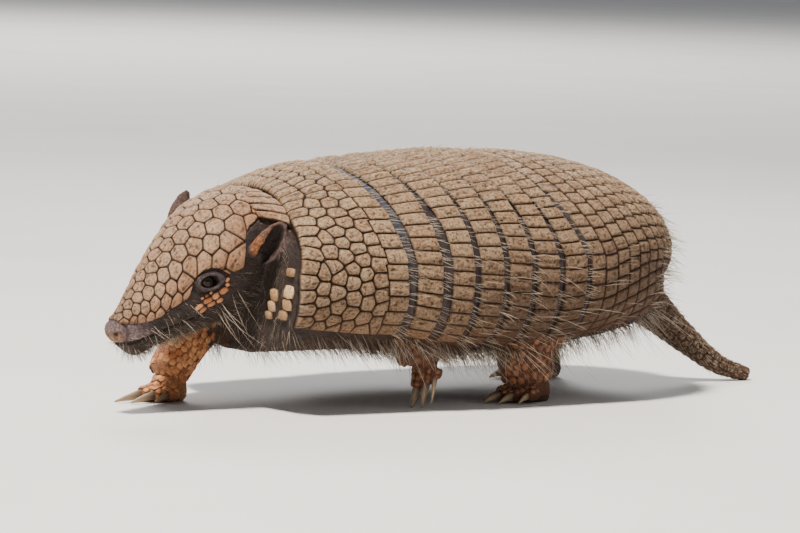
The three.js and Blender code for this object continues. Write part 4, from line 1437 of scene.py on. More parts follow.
# painted light: the far foreleg is painted bright, as lit, and the other legs dark, as in shade
lit_and_pale = np.where((y > 0) & (x < -120), 1.0, 0.08)
regions = dict(ear=ear_mask, rim=rim_mask, hollow=ear_hollow_shade, leg=leg_mask, tail=tail_mask, head=head_mask,
               snout=snout_mask, bluish=groove_mask, lit_and_pale=lit_and_pale, chin=chin_mask, tip=tip_mask,
               lid=lid_mask, slit=slit_mask, pit=pit_mask)
for label, values in regions.items():
    give(skin_mesh, label, values)
print("regions of the skin:", ", ".join(regions))

# %% Skin material
FACE_TONES = [  # region, then its tones in the pits and on the grain
    ("chin", rgb(34, 26, 22), rgb(62, 48, 40)),
    ("snout", rgb(92, 74, 74), rgb(138, 118, 120)),
    ("tip", rgb(96, 66, 44), rgb(168, 126, 88)),
    ("lid", rgb(60, 50, 51), rgb(98, 84, 86)),
    ("slit", rgb(26, 20, 20), rgb(26, 20, 20)),
    ("pit", rgb(52, 40, 40), rgb(52, 40, 40)),
]
skin_look = new_material("bare_skin")
tree = skin_look.node_tree
place = object_place(tree)
blotch = ramp(tree, noise(tree, place, 70.0, 4.0), 0.3, 0.7)
fine = noise(tree, place, 420.0, 4.0, 0.65)
speck = ramp(tree, fine, 0.35, 0.7)
body = blend(tree, blotch, rgb(46, 34, 28), rgb(74, 55, 44))
body = blend(tree, mask(tree, "bluish"), body, blend(tree, blotch, rgb(54, 54, 62), rgb(92, 92, 102)))
face = blend(tree, blotch, rgb(36, 29, 27), rgb(62, 51, 47))
for region, low, high in FACE_TONES:
    face = blend(tree, mask(tree, region), face, blend(tree, speck, low, high))
body = blend(tree, mask(tree, "head"), body, face)
# painted light: the far foreleg gets the bright tones, as lit, and the other legs the dark ones, as in shade
dark_leg = blend(tree, speck, rgb(62, 38, 27), rgb(98, 60, 40))
bright_leg = blend(tree, speck, rgb(136, 84, 50), rgb(192, 134, 90))
leg_tone = blend(tree, mask(tree, "lit_and_pale"), dark_leg, bright_leg)
body = blend(tree, mask(tree, "leg"), body, leg_tone)
ear_tone = blend(tree, speck, rgb(68, 52, 48), rgb(108, 88, 80))
ear_tone = blend(tree, mask(tree, "rim"), ear_tone, blend(tree, speck, rgb(108, 64, 42), rgb(196, 130, 84)))
# painted shade: the inside of the ear cup is near black
ear_tone = blend(tree, mask(tree, "hollow"), ear_tone, rgb(30, 19, 14))
body = blend(tree, mask(tree, "ear"), body, ear_tone)
body = blend(tree, mask(tree, "tail"), body, rgb(70, 46, 33))
cracks = node(tree, "TexVoronoi", {"Vector": place, "Scale": 520.0}, feature="DISTANCE_TO_EDGE").outputs[0]
crack = ramp(tree, cracks, 0.0, 0.12)
body = blend(tree, sums(tree, "MULTIPLY", sums(tree, "SUBTRACT", 1.0, crack), 0.45), body, rgb(36, 26, 22))
height = sums(tree, "ADD", sums(tree, "MULTIPLY", crack, 0.6), fine)
rough = node(tree, "MapRange", {0: speck, 3: 0.5, 4: 0.68}).outputs[0]
shade(tree, body, rough, height, 0.0006, Specular_IOR_Level=0.28)
skin_mesh.materials.clear()
skin_mesh.materials.append(skin_look)
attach(skin, "root")
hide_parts("trunk", "neck", "head", "ear_left", "ear_right", "fore_leg_left", "fore_leg_right",
            "hind_leg_left", "hind_leg_right")
print("skin:", len(skin_mesh.polygons), "triangles")

# %% [markdown]
# ## Eyes, claws and tail
# The eyeball is a dark wet ball that sits behind its lids. The claws are long curved horn, darker at the
# root. The tail is covered by rings of small scutes that shrink towards its end, made in the way of the
# shell's plates but on a closed loft, as they go all the way round.

# %% Eyes
eye_look = new_material("wet_eye")
tree = eye_look.node_tree
glint = ramp(tree, noise(tree, object_place(tree), 900.0), 0.35, 0.65)
iris = blend(tree, glint, rgb(34, 22, 16), rgb(66, 44, 30))
eye_colour = blend(tree, mask(tree, "pupil"), iris, rgb(8, 7, 7))
shade(tree, eye_colour, 0.12, Specular_IOR_Level=0.22, Coat_Weight=0.06, Coat_Roughness=0.04)
for name, side in (("left", -1), ("right", 1)):
    bm = bmesh.new()
    bmesh.ops.create_uvsphere(bm, u_segments=36, v_segments=24, radius=EYE_RADIUS * MM)
    centre = head_spot(EYE_PLACE[0], side * EYE_PLACE[1], EYE_PLACE[2]) * MM
    bmesh.ops.translate(bm, verts=bm.verts[:], vec=centre)
    mesh = as_mesh(bm, "eyeball_" + name)
    mesh.shade_smooth()
    gaze = np.array([0, side, 0]) + 0.25 * FORWARD @ STANCE_TURN.T
    facing = unit(points_of(mesh) / MM - centre / MM) @ unit(gaze)
    give(mesh, "pupil", step(0.86, 0.9, facing))
    show("eyeball_" + name, mesh, eye_look, "eye_dark", "eye_" + name)

# %% Claws
claw_look = new_material("claw_horn_look")
tree = claw_look.node_tree
place = object_place(tree)
root = mask(tree, "root")
streaks = noise(tree, node(tree, "UVMap", uv_map="grain").outputs[0], 3.0, 4.0)
tone = blend(tree, root, rgb(176, 150, 118), rgb(84, 60, 44))
tone = blend(tree, sums(tree, "MULTIPLY", ramp(tree, streaks, 0.35, 0.7), 0.6), tone, rgb(60, 44, 34))
rough = node(tree, "MapRange", {0: streaks, 3: 0.34, 4: 0.52}).outputs[0]
shade(tree, tone, rough, streaks, 0.0002, Specular_IOR_Level=0.5)
CLAW_POINT = 0.55  # radius of the tip


def claw_ring(facts, t, angle):
    """A ring of a claw, which curves down and gets thinner along t."""
    thick = mix(facts["r"] * 0.62, CLAW_POINT, t**1.4)
    curve = facts["base"] + facts["way"] * (facts["reach"] * t)[:, None]
    curve = curve - np.array([0, 0, 1]) * (facts["sink"] * t * t)[:, None]
    beside = facts["across"] * (thick * 0.72 * np.cos(angle))[:, None]
    points = curve + (beside + facts["up"] * (thick * np.sin(angle))[:, None]) + SHIFT
    points[:, 2] = np.maximum(points[:, 2], 0)
    return points


for name, facts in claws.items():
    mesh, t, angle = loft(name + "_horn", 14, 14, lambda t, angle: claw_ring(facts, t, angle))
    give(mesh, "root", 1 - step(0.05, 0.75, t))
    lay_uv(mesh, "grain", np.stack([angle * 1.2, t * 0.8], -1))
    show(name + "_horn", mesh, claw_look, "claw_horn", name)

# %% Tail scutes
TAIL_RINGS = 24
TAIL_SCUTE = 6.6  # width
tail_horn = horn_of_shell("tail_horn", light=rgb(124, 92, 68), middle=rgb(92, 66, 48), dark=rgb(58, 41, 31),
                          warm=rgb(112, 72, 44))


def tail_ring(t, angle):
    return limb_point(TAIL_PATH, TAIL_RADII, TAIL_RADII, t, angle) + SHIFT


def tail():
    mesh, t, angle = loft("tail_scutes", 300, 110, tail_ring)
    run = t**0.8 * TAIL_RINGS
    number = np.floor(run)
    length = 150 / TAIL_RINGS * 1.25 * np.maximum(t, 0.02) ** 0.2
    radius = even_track(TAIL_RADII, t)
    fit = np.maximum(np.round(2 * math.pi * radius / TAIL_SCUTE), 5)
    turn = (angle / (2 * math.pi)) % 1
    column = np.floor(turn * fit + 0.5 * (number % 2))
    lx = (run - number - 0.5) * length
    ly = (turn * fit + 0.5 * (number % 2) - column - 0.5) * 2 * math.pi * radius / fit
    edge = inside_box(lx, ly, length / 2, math.pi * radius / fit, 1.3)
    key = number * 31 + column % fit
    height, rise = scute(edge, lx, ly, key, ridges=0.3, groove=0.8)
    lap = 0.7 * (run - number) - 0.35
    points = points_of(mesh) / MM + directions_of(mesh) * (height * 0.7 + lap)[:, None]
    points[:, 2] = np.maximum(points[:, 2], 0)
    place_points(mesh, points)
    give(mesh, "rise", np.clip(rise, 0, 1))
    tint = lattice(column % fit, number, 1)
    give(mesh, "tint", tint)
    give(mesh, "warm", 0.3 * wander(t * 20, turn * 6, 2))
    give(mesh, "shade", 0.15 + 0.25 * wander(t * 12, turn * 5, 3))
    lay_uv(mesh, "grain", grain_map(lx, ly, tint))
    return show("tail_scutes", mesh, tail_horn, "scaly_skin", "tail")


tail()

# %% [markdown]
# ## Scales and loose plates
# The legs are covered by small horny scales, larger on wrist and hand. Beads of horn stand in two short
# columns on each side of the neck, and short rows lie under each eye. They could be pressed into the
# skin like the scutes of the shell, but each is a hard little button with a shadow round it. So one button
# is made with bmesh, and its corners are set again and again over the skin, turned to the way the body runs
# there.

# %% One button of horn
bm = bmesh.new()
bmesh.ops.create_uvsphere(bm, u_segments=8, v_segments=6, radius=1)
button = as_mesh(bm, "button")
BUTTON = points_of(button)
BUTTON_FACES = [tuple(p.vertices) for p in button.polygons]
bpy.data.meshes.remove(button)
UV_PATCH = 0.003  # size of each copy's part of the map


def joined(name, corners, faces):
    """One mesh of many copies of the same small net. corners has one row of points for each copy."""
    copies, size = corners.shape[:2]
    lengths = np.tile([len(f) for f in faces], copies)
    one = np.concatenate([np.array(f) for f in faces])
    loops = (one[None, :] + size * np.arange(copies)[:, None]).ravel()
    mesh = bpy.data.meshes.new(name)
    mesh.vertices.add(copies * size)
    mesh.vertices.foreach_set("co", (corners * MM).astype(np.float32).ravel())
    mesh.loops.add(len(loops))
    mesh.loops.foreach_set("vertex_index", loops.astype(np.int32))
    mesh.polygons.add(len(lengths))
    mesh.polygons.foreach_set("loop_start", (np.cumsum(lengths) - lengths).astype(np.int32))
    mesh.polygons.foreach_set("loop_total", lengths.astype(np.int32))
    mesh.update(calc_edges=True)
    mesh.validate()
    mesh.shade_smooth()
    return mesh


skin_tree = BVHTree.FromPolygons([v.co for v in skin_mesh.vertices], [p.vertices for p in skin_mesh.polygons])


def on_skin(points, limit):
    """The nearest places of the skin and its directions there, and which of them are within the limit."""
    places, ways, near = np.zeros_like(points), np.zeros_like(points), np.zeros(len(points), bool)
    for i, point in enumerate(points):
        place, way, _, far = skin_tree.find_nearest(Vector(point * MM))
        if place is not None:
            places[i], ways[i], near[i] = np.array(place) / MM, way, far / MM < limit
    return places, ways, near


def chart(points):
    """A place on a flat unwrap of the body: along it and round it, with each leg in a field of its own."""
    x, y, z = points.T
    round_body = np.arctan2(y, z - 90) / (2 * math.pi) + 0.5
    u, v = 0.02 + (x + 270) / 540 * 0.94, 0.02 + round_body * 0.4
    low = (z < 48) & (x > -210)
    leg = (y > 0) * 1 + (x > 0) * 2
    round_leg = np.arctan2(y - np.sign(y) * 52, x - np.round(x / 100) * 100) / math.pi + 1
    u = np.where(low, 0.03 + 0.24 * leg + 0.1 * round_leg, u)
    v = np.where(low, 0.5 + z / 48 * 0.4, v)
    return np.stack([u, v], -1)


def bake_map(mesh, roots, local):
    """OFBake: each copy has its own small patch at its root's place on the unwrap."""
    uv = chart(roots)[:, None, :] + local[None, :, :] * UV_PATCH
    lay_uv(mesh, "OFBake", uv.reshape(-1, 2))


SQUARE = 0.75  # 1 is a round button, and less is squarer


def buttons(name, places, ways, runs, long, wide, high, finish, slot, tone, square=SQUARE):
    """Domed buttons: long along their runs, wide across them and high over the skin."""
    aside = unit(np.cross(ways, runs))
    ahead = unit(np.cross(aside, ways))
    squared = np.sign(BUTTON) * np.abs(BUTTON) ** np.array([square, square, 0.8])
    sizes = [np.broadcast_to(np.asarray(v, float), len(places))[:, None, None] for v in (long, wide, high)]
    corners = places[:, None, :] + ahead[:, None, :] * squared[None, :, 0:1] * sizes[0] / 2
    corners = corners + aside[:, None, :] * squared[None, :, 1:2] * sizes[1] / 2
    corners = corners + ways[:, None, :] * squared[None, :, 2:3] * sizes[2]
    corners[..., 2] = np.maximum(corners[..., 2], 0)
    mesh = joined(name, corners, BUTTON_FACES)
    face_out(mesh)
    # painted shade: each button is darker towards its base, where it meets the skin
    rise = step(-0.25, 0.75, BUTTON[:, 2])
    give(mesh, "rise", np.tile(rise, len(places)))
    give(mesh, "tint", np.repeat(chance.uniform(0, 1, len(places)), len(BUTTON)))
    # on leg scales this paints light and shade; on beads and the rows under the eyes it is their paleness
    give(mesh, "lit_and_pale", np.repeat(np.broadcast_to(tone, len(places)), len(BUTTON)))
    bake_map(mesh, places, BUTTON[:, :2] * 0.45)
    return show(name, mesh, finish, slot)


# %% Horn of scales and beads


def scale_horn(name, dull_low, dull_high, vivid_low, vivid_high):
    """Horn of small scales, from dull ones to vivid ones, each a little different. On the legs the dull tones
    are painted shade and the vivid ones painted light, and every scale is painted darker at its base, as
    shade.
    """
    made = new_material(name)
    tree = made.node_tree
    place = object_place(tree)
    grit = noise(tree, place, 700.0, 4.0, 0.7)
    dull = blend(tree, mask(tree, "tint"), dull_low, dull_high)
    vivid = blend(tree, mask(tree, "tint"), vivid_low, vivid_high)
    tone = blend(tree, mask(tree, "lit_and_pale"), dull, vivid)
    tone = blend(tree, sums(tree, "MULTIPLY", ramp(tree, grit, 0.48, 0.64), 0.5), tone, rgb(70, 44, 30))
    # painted shade round the base of each button
    tone = blend(tree, ramp(tree, mask(tree, "rise"), 0.0, 0.8), rgb(48, 30, 22), tone)
    rough = node(tree, "MapRange", {0: grit, 3: 0.46, 4: 0.62}).outputs[0]
    shade(tree, tone, rough, grit, 0.0004, Specular_IOR_Level=0.38)
    return made


scale_look = scale_horn("scale_horn", rgb(72, 44, 31), rgb(112, 70, 47), rgb(168, 98, 56), rgb(222, 156, 104))
bead_look = scale_horn("bead_horn", rgb(96, 70, 50), rgb(128, 94, 66), rgb(190, 148, 106), rgb(226, 188, 142))

# %% Where scales lie on a leg
LEG_SCALE = 4.4
FOOT_SCALE = 5.4
DIGIT_SCALES = (3.6, 4.6)  # on the sides and on the top


def shank_scales(name, leg):
    """Rows round the leg, from the middle of the upper leg down to the wrist: places, runs and sizes."""
    path = leg["path"]
    line = path_point(path, np.linspace(0, 1, 80))[0]
    length = float(np.linalg.norm(np.diff(line, axis=0), axis=1).sum())
    rows = int(length / (LEG_SCALE * 0.86))
    found = []
    for row in range(rows):
        t = (row + 0.5) / rows
        if t < (0.26 if name == FAR_FORELEG else 0.4):
            continue
        size = LEG_SCALE * mix(0.95, 1.25, t)
        count = round(2 * math.pi * float(even_track(leg["across"], t)) * 1.1 / size)
        steps = np.arange(count) + 0.5 * (row % 2) + chance.uniform(-0.12, 0.12, count)
        angle = steps / count * 2 * math.pi
        at = np.full(count, t)
        spots = limb_point(path, leg["across"], leg["deep"], at, angle, 1.0) + SHIFT
        found += zip(spots, path_point(path, at)[1], np.full(count, size))
    return found


def foot_scales(leg):
    """Rows over the back of the foot."""
    forward = foot_ways(leg)[0]
    sideways = np.array([-forward[1], forward[0], 0])
    ball, heel, lift = np.array(leg["ball"]), np.array(leg["heel"]), np.array([0, 0, leg["height"]])
    return [(mix(heel, ball, t) + sideways * across * FOOT_SCALE + lift + SHIFT, forward, FOOT_SCALE)
            for across in np.arange(-2, 2.5) for t in np.arange(0.2, 1.5, 0.24)]


def digit_scales(leg):
    """Three rows on each digit: one along its top and one on each side."""
    found = []
    for start, way, over_way, length, radius, _ in digit_lines(leg):
        count = max(round(length / 4.2), 2)
        for k in range(count):
            for lean in (-0.9, 0.0, 0.9):
                out_way = over_way * math.cos(lean) + np.cross(way, over_way) * math.sin(lean)
                spot = start + way * length * (k + 0.6) / count + out_way * radius + SHIFT
                found.append((spot, way, DIGIT_SCALES[lean == 0]))
    return found


print("places for scales on the near foot:", len(foot_scales(LEGS["fore_leg_left"])))

# %% Scales of the legs
CUBE = 6  # edge of the cubes through which near scales are found
# painted light: the far foreleg's scales are painted lit, the others' as in shade
LEG_PAINTED_LIGHT = {"fore_leg_right": 1.0, "fore_leg_left": 0.15, "hind_leg_left": 0.22, "hind_leg_right": 0.22}


def spaced(places, sizes):
    """Which scales can stay, so that none lies over another."""
    cubes = {}
    keep = np.zeros(len(places), bool)
    for i, place in enumerate(places):
        cube = np.floor(place / CUBE).astype(int)
        around = [j for way in np.ndindex(3, 3, 3) for j in cubes.get(tuple(cube + way - 1), [])]
        if all(np.linalg.norm(places[j] - place) >= 0.36 * (sizes[i] + sizes[j]) for j in around):
            keep[i] = True
            cubes.setdefault(tuple(cube), []).append(i)
    return keep


def leg_scales(name, leg):
    found = shank_scales(name, leg) + foot_scales(leg) + digit_scales(leg)
    spots, runs, sizes = (np.array(part) for part in zip(*found))
    places, ways, near = on_skin(spots, 5.0)
    near &= (places[:, 2] > 1.5) & (ways[:, 2] > -0.75) & (places[:, 2] < 66)
    places, ways, runs, sizes = (part[near] for part in (places, ways, runs, sizes))
    keep = spaced(places, sizes)
    places, ways, runs, sizes = (part[keep] for part in (places, ways, runs, sizes))
    # how lit each scale is painted, and darker higher up the leg
    tone = LEG_PAINTED_LIGHT[name] * mix(0.7, 1.0, 1 - step(18, 50, places[:, 2]))
    wide = sizes * chance.uniform(0.85, 1.0, len(places))
    high = 0.95 + 0.1 * sizes / 4
    return buttons(name + "_scales", places - ways * 0.25, ways, runs, sizes * 1.05, wide, high, scale_look,
                   "scaly_skin", tone)


for name, leg in LEGS.items():
    leg_scales(name, leg)

# %% Beads on the neck and rows under the eyes
# under the eye: back, out and up on the head, then length and width
UNDER_EYE = [(74.6, 27.3, -14.8, 6.8, 4.6), (68.6, 25.4, -15.2, 5.2, 4.4), (62.8, 23.6, -15.0, 6.8, 3.8),
             (56.4, 21.4, -15.9, 6.6, 3.3), (70.6, 24.8, -19.4, 5.2, 3.3), (64.4, 23.0, -18.6, 6.4, 3.2),
             (58.2, 21.4, -19.2, 5.8, 2.9), (79.2, 29.0, -9.4, 3.6, 2.8), (78.2, 28.4, -12.4, 3.2, 2.6),
             (60.0, 22.6, -11.4, 2.3, 1.8), (63.4, 23.2, -11.9, 2.5, 1.9), (66.6, 24.2, -12.2, 2.3, 1.8)]
# on the neck: place along it, degrees from the top line, length, width and paleness
NECK_BEADS = [(0.93, 89, 10.8, 5.8, 0.5), (0.9, 97, 12.6, 9.6, 0.9), (0.88, 105, 12.2, 8.0, 0.8),
              (0.82, 115.5, 11.4, 6.4, 0.4), (0.42, 112, 10.6, 8.6, 0.85), (0.44, 122, 9.2, 7.4, 0.75),
              (0.46, 131, 8.2, 5.6, 0.35)]


def plates(name, rows, high, finish, slot, square, level=False):
    """Buttons from rows of place, run, length, width and tone. Level ones run round the body instead."""
    spots, runs, longs, wides, paleness = (np.array(part) for part in zip(*rows))
    places, ways, _ = on_skin(spots, 16)
    if level:
        runs = np.cross([0, 0, 1], ways)
    return buttons(name, places, ways, runs, longs, wides, high, finish, slot, paleness, square)


eye_rows, bead_rows = [], []
for side in (-1, 1):
    for back_at, out_at, up_at, long, wide in UNDER_EYE:
        eye_rows.append((head_spot(back_at, side * out_at, up_at), HEAD_BACK, long, wide, 0.85))
    for t, degrees, long, wide, tone in NECK_BEADS:
        angle = math.radians(degrees) * side
        way_on = unit(neck_point(t + 0.1, angle) - neck_point(t - 0.1, angle))
        bead_rows.append((neck_point(t, angle, 0.5), way_on, long, wide, tone))
plates("eye_row_plates", eye_rows, 1.2, scale_look, "scaly_skin", 0.65)
plates("neck_beads", bead_rows, 2.2, bead_look, "shell_plate", 0.5, level=True)

# %% [markdown]
# ## Bristles and hair
# A six-banded armadillo is the hairy one of its kin. Pale bristles come out from under the rear edge of
# each band and lie backwards over the next one, long ones straggle over the flanks, and a fringe hangs from
# the shell's edge, the belly and the legs. Fur grown by a particle system would not outlive an export, so
# each hair is a thin tube of three sides that tapers and bends. Each starts just inside the skin, follows
# the lie of the coat, and is given a length, a bend and a paleness of its own.

# %% One hair
HAIR_AT = np.array([0, 0.3, 0.6, 0.85])  # places of its four rings, from root to tip
HAIR_THICK = np.array([1.0, 0.92, 0.72, 0.42])
HAIR_CORNERS = 13  # three on each ring, and the tip
HAIR_FACES = [(2, 1, 0)]
for ring_number in range(3):
    for corner in range(3):
        here, there = 3 * ring_number + corner, 3 * ring_number + (corner + 1) % 3
        HAIR_FACES.append((here, there, there + 3, here + 3))
for corner in range(3):
    HAIR_FACES.append((9 + corner, 9 + (corner + 1) % 3, 12))
HAIR_LOCAL = np.array([[0.5 * c, t] for t in HAIR_AT for c in range(3)] + [[0.5, 1.0]]) - 0.5
DOWN = np.array([0, 0, -1.0])
BACKWARD = np.array([1.0, 0, 0])
WIDEST = 101.5  # hairs that reach past these are pressed back towards the body
HIGHEST = 165.5
growth = []  # what has been planned so far for the coat piece in work


def grow(places, ways, lean, length, thick, bend, pale):
    """Plans hairs on the skin. lean is the way each sets out, and bend how it has turned at its tip."""
    count = len(places)
    spread = chance.normal(0, 0.16, (count, 3))
    lean = unit(lean + spread)
    into = np.minimum((lean * ways).sum(1), 0.12)[:, None] - 0.12
    lean = unit(lean - ways * into)
    length = np.broadcast_to(length, count) * chance.uniform(0.72, 1.25, count)
    curl = np.broadcast_to(bend, (count, 3)) * chance.uniform(0.4, 1.5, (count, 1))
    curl = curl + chance.normal(0, 0.1, (count, 3))
    pale = np.clip(np.broadcast_to(pale, count) + chance.normal(0, 0.22, count), 0, 1)
    thick = np.broadcast_to(thick, count) * chance.uniform(0.8, 1.2, count)
    growth.append((places - ways * 0.6, lean, length, thick, curl, pale))


def tones(count, dark, light, light_share):
    """Mostly dark hairs, with some light ones between them."""
    return chance.choice([dark, light], count, p=[1 - light_share, light_share])


def coat_piece(name):
    """Turns all the planned hairs into one mesh."""
    roots, lean, length, thick, curl, pale = (np.concatenate(part) for part in zip(*growth))
    growth.clear()
    at = np.append(HAIR_AT, 1.0)
    way = lean[:, None] * at[:, None] + curl[:, None] * at[:, None] ** 2
    middle = roots[:, None] + length[:, None, None] * way
    aside = unit(np.cross(lean, lean[:, [1, 2, 0]] + 0.3))
    other = unit(np.cross(lean, aside))
    turn = np.arange(3) * 2 * math.pi / 3
    spoke = aside[:, None] * np.cos(turn)[:, None] + other[:, None] * np.sin(turn)[:, None]
    rings = middle[:, :4, None] + spoke[:, None] * (thick[:, None] * HAIR_THICK)[:, :, None, None]
    corners = np.concatenate([rings.reshape(len(roots), 12, 3), middle[:, 4:]], axis=1)
    beyond = np.maximum(np.abs(corners[..., 1]) - WIDEST, 0)
    corners[..., 1] -= np.sign(corners[..., 1]) * beyond * 0.7
    corners[..., 2] -= np.maximum(corners[..., 2] - HIGHEST, 0) * 0.6
    corners[..., 2] = np.maximum(corners[..., 2], 0.3)
    mesh = joined(name, corners, HAIR_FACES)
    face_out(mesh)
    give(mesh, "pale", np.repeat(pale, HAIR_CORNERS))
    give(mesh, "out", np.tile(np.append(np.repeat(HAIR_AT, 3), 1.0), len(roots)))
    bake_map(mesh, roots, HAIR_LOCAL)
    return show(name, mesh, hair_look, None)


hair_look = new_material("hair_of_coat")
tree = hair_look.node_tree
wave = ramp(tree, noise(tree, object_place(tree), 60.0), 0.3, 0.7)
dark_hair = blend(tree, wave, rgb(38, 28, 22), rgb(80, 58, 43))
pale_hair = blend(tree, wave, rgb(186, 160, 134), rgb(236, 222, 204))
strand = blend(tree, mask(tree, "pale"), dark_hair, pale_hair)
root_tone = blend(tree, 0.5, strand, rgb(60, 42, 32))
strand = blend(tree, ramp(tree, mask(tree, "out"), 0.5, 0.0), strand, root_tone)
rough = node(tree, "MapRange", {0: wave, 3: 0.42, 4: 0.52}).outputs[0]
shade(tree, strand, rough, Specular_IOR_Level=0.4)
print("a hair has", len(HAIR_FACES), "faces")

# %% Roots on the shell and under it


def shell_roots(s, share, height=0.0):
    """Places on the shell, the ways out of it and the ways along it to the rear."""
    place = shell_point(s, share, height)
    rear = unit(shell_point(s + 0.05, share) - shell_point(s - 0.05, share))
    out = unit(shell_point(s, share, 1.0) - shell_point(s, share, 0.0))
    return place, out, rear


def either_side(count):
    return chance.choice([-1.0, 1.0], count)


# %% Hairs out of the grooves, and bristles over the plates
for number in range(1, LAST + 1):
    wide_gap = number == 1
    count = 230 if wide_gap else 170
    share = chance.uniform(-1, 1, count)
    place, out, rear = shell_roots(number - 0.03 + chance.uniform(-0.02, 0.02, count), share, -1.6)
    low = step(0.3, 1.0, np.abs(share))
    length = (7.5 if wide_gap else 6.0) + 4.5 * low
    grow(place, out, rear + 0.1 * out + low[:, None] * 0.35 * DOWN, length, 0.15, -0.05 * out, 0.8)
count = 420  # over the flanks, from the rear edges of the plates
share = either_side(count) * chance.uniform(0.35, 1.0, count)
s = np.round(chance.uniform(0.6, LAST + 2.5, count)) - 0.04
place, out, rear = shell_roots(np.minimum(s, 9.6), share, -0.4)
length = chance.uniform(6, 16, count)
grow(place, out, rear + 0.22 * out + 0.12 * DOWN, length, 0.14, 0.1 * DOWN - 0.1 * out, 0.75)
count = 110  # long ones, low on the flanks
share = either_side(count) * chance.uniform(0.62, 1.0, count)
place, out, rear = shell_roots(chance.uniform(0.8, 9.3, count), share, -0.4)
length = chance.uniform(13, 30, count)
grow(place, out, rear + 0.25 * out + 0.15 * DOWN, length, 0.17, 0.12 * DOWN - 0.15 * out, 0.95)
count = 190  # short ones along the back
place, out, rear = shell_roots(chance.uniform(-0.05, 9.4, count), chance.uniform(-0.4, 0.4, count), -0.3)
grow(place, out, rear + 0.45 * out, chance.uniform(4, 11, count), 0.15, -0.1 * out, 0.85)
count = 300  # thick ones round the tail
s = chance.uniform(8.9, 9.98, count)
place, out, rear = shell_roots(s, either_side(count) * chance.uniform(0.1, 1.0, count), -0.3)
grow(place, out, 0.75 * rear + 0.6 * out, chance.uniform(8, 17, count), 0.24, 0.2 * DOWN, 0.9)
coat_piece("bristles_of_shell")

# %% The fringe along the shell's edge and the belly


def under_roots(count, s_low, s_high, low, high):
    """Places on the skin beyond the shell's edge, low to high radians from it."""
    s, side = chance.uniform(s_low, s_high, count), either_side(count)
    guess = body_point(s, side * (hem_angle(s) + chance.uniform(low, high, count)), SKIN_DEPTH)
    places, ways, near = on_skin(guess, 9)
    return places[near], ways[near]


places, ways = under_roots(2700, -0.1, 9.7, 0.0, 0.3)
lean, bend = 0.5 * ways + 0.6 * DOWN + 0.45 * BACKWARD, 0.25 * DOWN + 0.1 * BACKWARD
grow(places, ways, lean, 12.5, 0.13, bend, tones(len(places), 0.05, 0.75, 0.24))
places, ways = under_roots(2600, -0.1, 9.6, 0.3, 1.0)
lean = 0.3 * ways + 0.35 * DOWN + 0.8 * BACKWARD
grow(places, ways, lean, 11, 0.13, 0.2 * DOWN, tones(len(places), 0.05, 0.7, 0.15))
places, ways = under_roots(260, 0.5, 9.6, 0.0, 0.2)
lean = 0.6 * ways + 0.35 * DOWN + 0.75 * BACKWARD
grow(places, ways, lean, 26, 0.16, bend, 0.9)
coat_piece("belly_fringe")

# %% Face, throat and neck


def head_roots(count, back_low, back_high, angle_low, angle_high):
    """Places on the skin of the head. Angles count from its top line, in degrees."""
    at, side = chance.uniform(back_low, back_high, count), either_side(count)
    guess = head_point(at, side * np.radians(chance.uniform(angle_low, angle_high, count)))
    places, ways, near = on_skin(guess, 4)
    eye = head_spot(EYE_PLACE[0], side * EYE_PLACE[1], EYE_PLACE[2])
    clear = near & (np.linalg.norm(places - eye, axis=1) > 11)
    return places[clear], ways[clear]


def head_way(ways, out, down, back):
    return out * ways + down * DOWN + back * HEAD_BACK


def grow_on_head(count, backs, angles, lean, length, bend, pale, thick=0.1):
    """Hairs on a part of the head. lean and bend say how far they go out, down and back."""
    places, ways = head_roots(count, *backs, *angles)
    shades = tones(len(places), *pale) if isinstance(pale, tuple) else pale
    grow(places, ways, head_way(ways, *lean), length, thick, head_way(ways, *bend), shades)


# lips, throat, chin and cheeks, then long hairs behind the mouth and over it, and short ones on the shield
grow_on_head(300, (4, 50), (84, 128), (0.5, 0.35, 0.45), 3.6, (0, 0.15, 0), (0.1, 0.6, 0.16))
grow_on_head(700, (10, 105), (120, 180), (0.45, 0.2, 0.75), 7.5, (0, 0.2, 0), (0.1, 0.6, 0.15))
grow_on_head(560, (2, 48), (118, 180), (0.6, 0.45, 0.35), 6.5, (0, 0.15, 0), (0.1, 0.7, 0.25))
grow_on_head(520, (50, 112), (92, 125), (0.35, 0.25, 0.75), 5.5, (0, 0.15, 0), (0.1, 0.6, 0.15))
grow_on_head(18, (66, 84), (108, 124), (0.75, 0.8, 0.3), 31, (0, 0.2, 0.35), 1.0, 0.12)
grow_on_head(20, (16, 52), (92, 112), (0.6, 0.7, 0.3), 13, (0, 0.15, 0), 1.0, 0.12)
grow_on_head(60, (20, 120), (0, 60), (0.6, 0, 0.6), 4.5, (-0.1, 0, 0), 0.85, 0.12)
count = 1500  # on the neck
at, side = chance.uniform(0.0, 0.98, count), either_side(count)
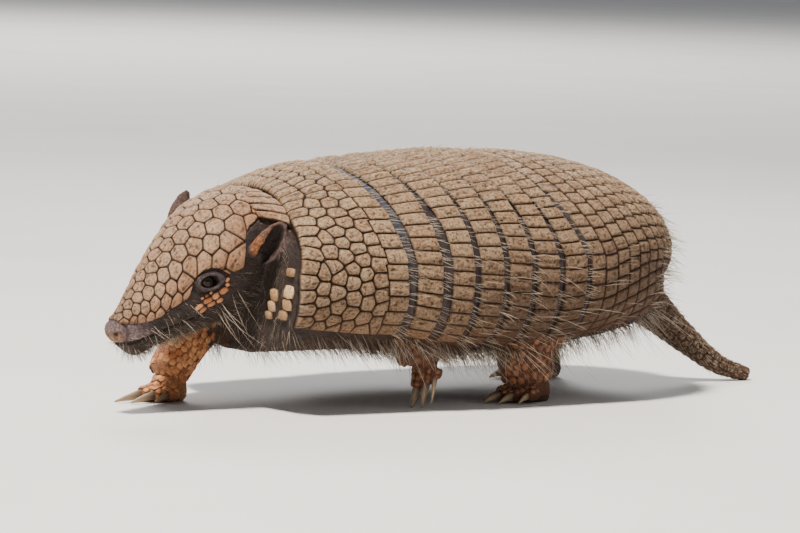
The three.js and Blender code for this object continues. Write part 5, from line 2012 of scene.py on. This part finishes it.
guess = neck_point(at, side * np.radians(chance.uniform(72, 180, count)), 0.0)
places, ways, near = on_skin(guess, 5)
places, ways = places[near], ways[near]
lean = 0.45 * ways + 0.4 * DOWN + 0.6 * BACKWARD
grow(places, ways, lean, 10, 0.1, 0.25 * DOWN, tones(len(places), 0.05, 0.6, 0.1))
coat_piece("hair_of_head")

# %% Legs and tail
for name, leg in LEGS.items():
    count = 620
    t, angle = chance.uniform(0.2, 0.95, count), chance.uniform(0, 2 * math.pi, count)
    guess = limb_point(leg["path"], leg["across"], leg["deep"], t, angle) + SHIFT
    places, ways, near = on_skin(guess, 4)
    near &= (places[:, 2] < 74) & (chance.uniform(0, 1, count) < mix(1.0, 0.3, step(0.3, 0.8, t)))
    way = path_point(leg["path"], t)[1]
    length = mix(13.0, 5.5, step(0.3, 0.9, t)) * np.where(ways[:, 0] > 0.3, 1.35, 0.8)
    tone = tones(count, 0.1, 0.75, 0.4)
    lean = 0.5 * ways + 0.7 * way + 0.25 * BACKWARD
    grow(places[near], ways[near], lean[near], length[near], 0.15, 0.2 * DOWN, tone[near])
    heel, ball = np.array(leg["heel"]), np.array(leg["ball"])
    guess = mix(heel, ball, chance.uniform(0.2, 1.5, (90, 1))) + chance.normal(0, 6, (90, 3))
    places, ways, near = on_skin(guess + [0, 0, leg["height"]] + SHIFT, 8)
    near &= ways[:, 2] > -0.2
    places, ways = places[near], ways[near]
    grow(places, ways, 0.5 * ways + 0.7 * foot_ways(leg)[0] + 0.2 * DOWN, 5.5, 0.13, 0.2 * DOWN, 0.8)
count = 420
t, angle = chance.uniform(0.02, 0.93, count), chance.uniform(0, 2 * math.pi, count)
place = limb_point(TAIL_PATH, TAIL_RADII, TAIL_RADII, t, angle) + SHIFT
way = path_point(TAIL_PATH, t)[1]
out = unit(place - path_point(TAIL_PATH, t)[0] - SHIFT)
grow(place, out, way + 0.35 * out, mix(9.0, 3.5, t), 0.14, 0.05 * DOWN, chance.choice([0.2, 0.75], count))
coat_piece("hair_of_legs_and_tail")
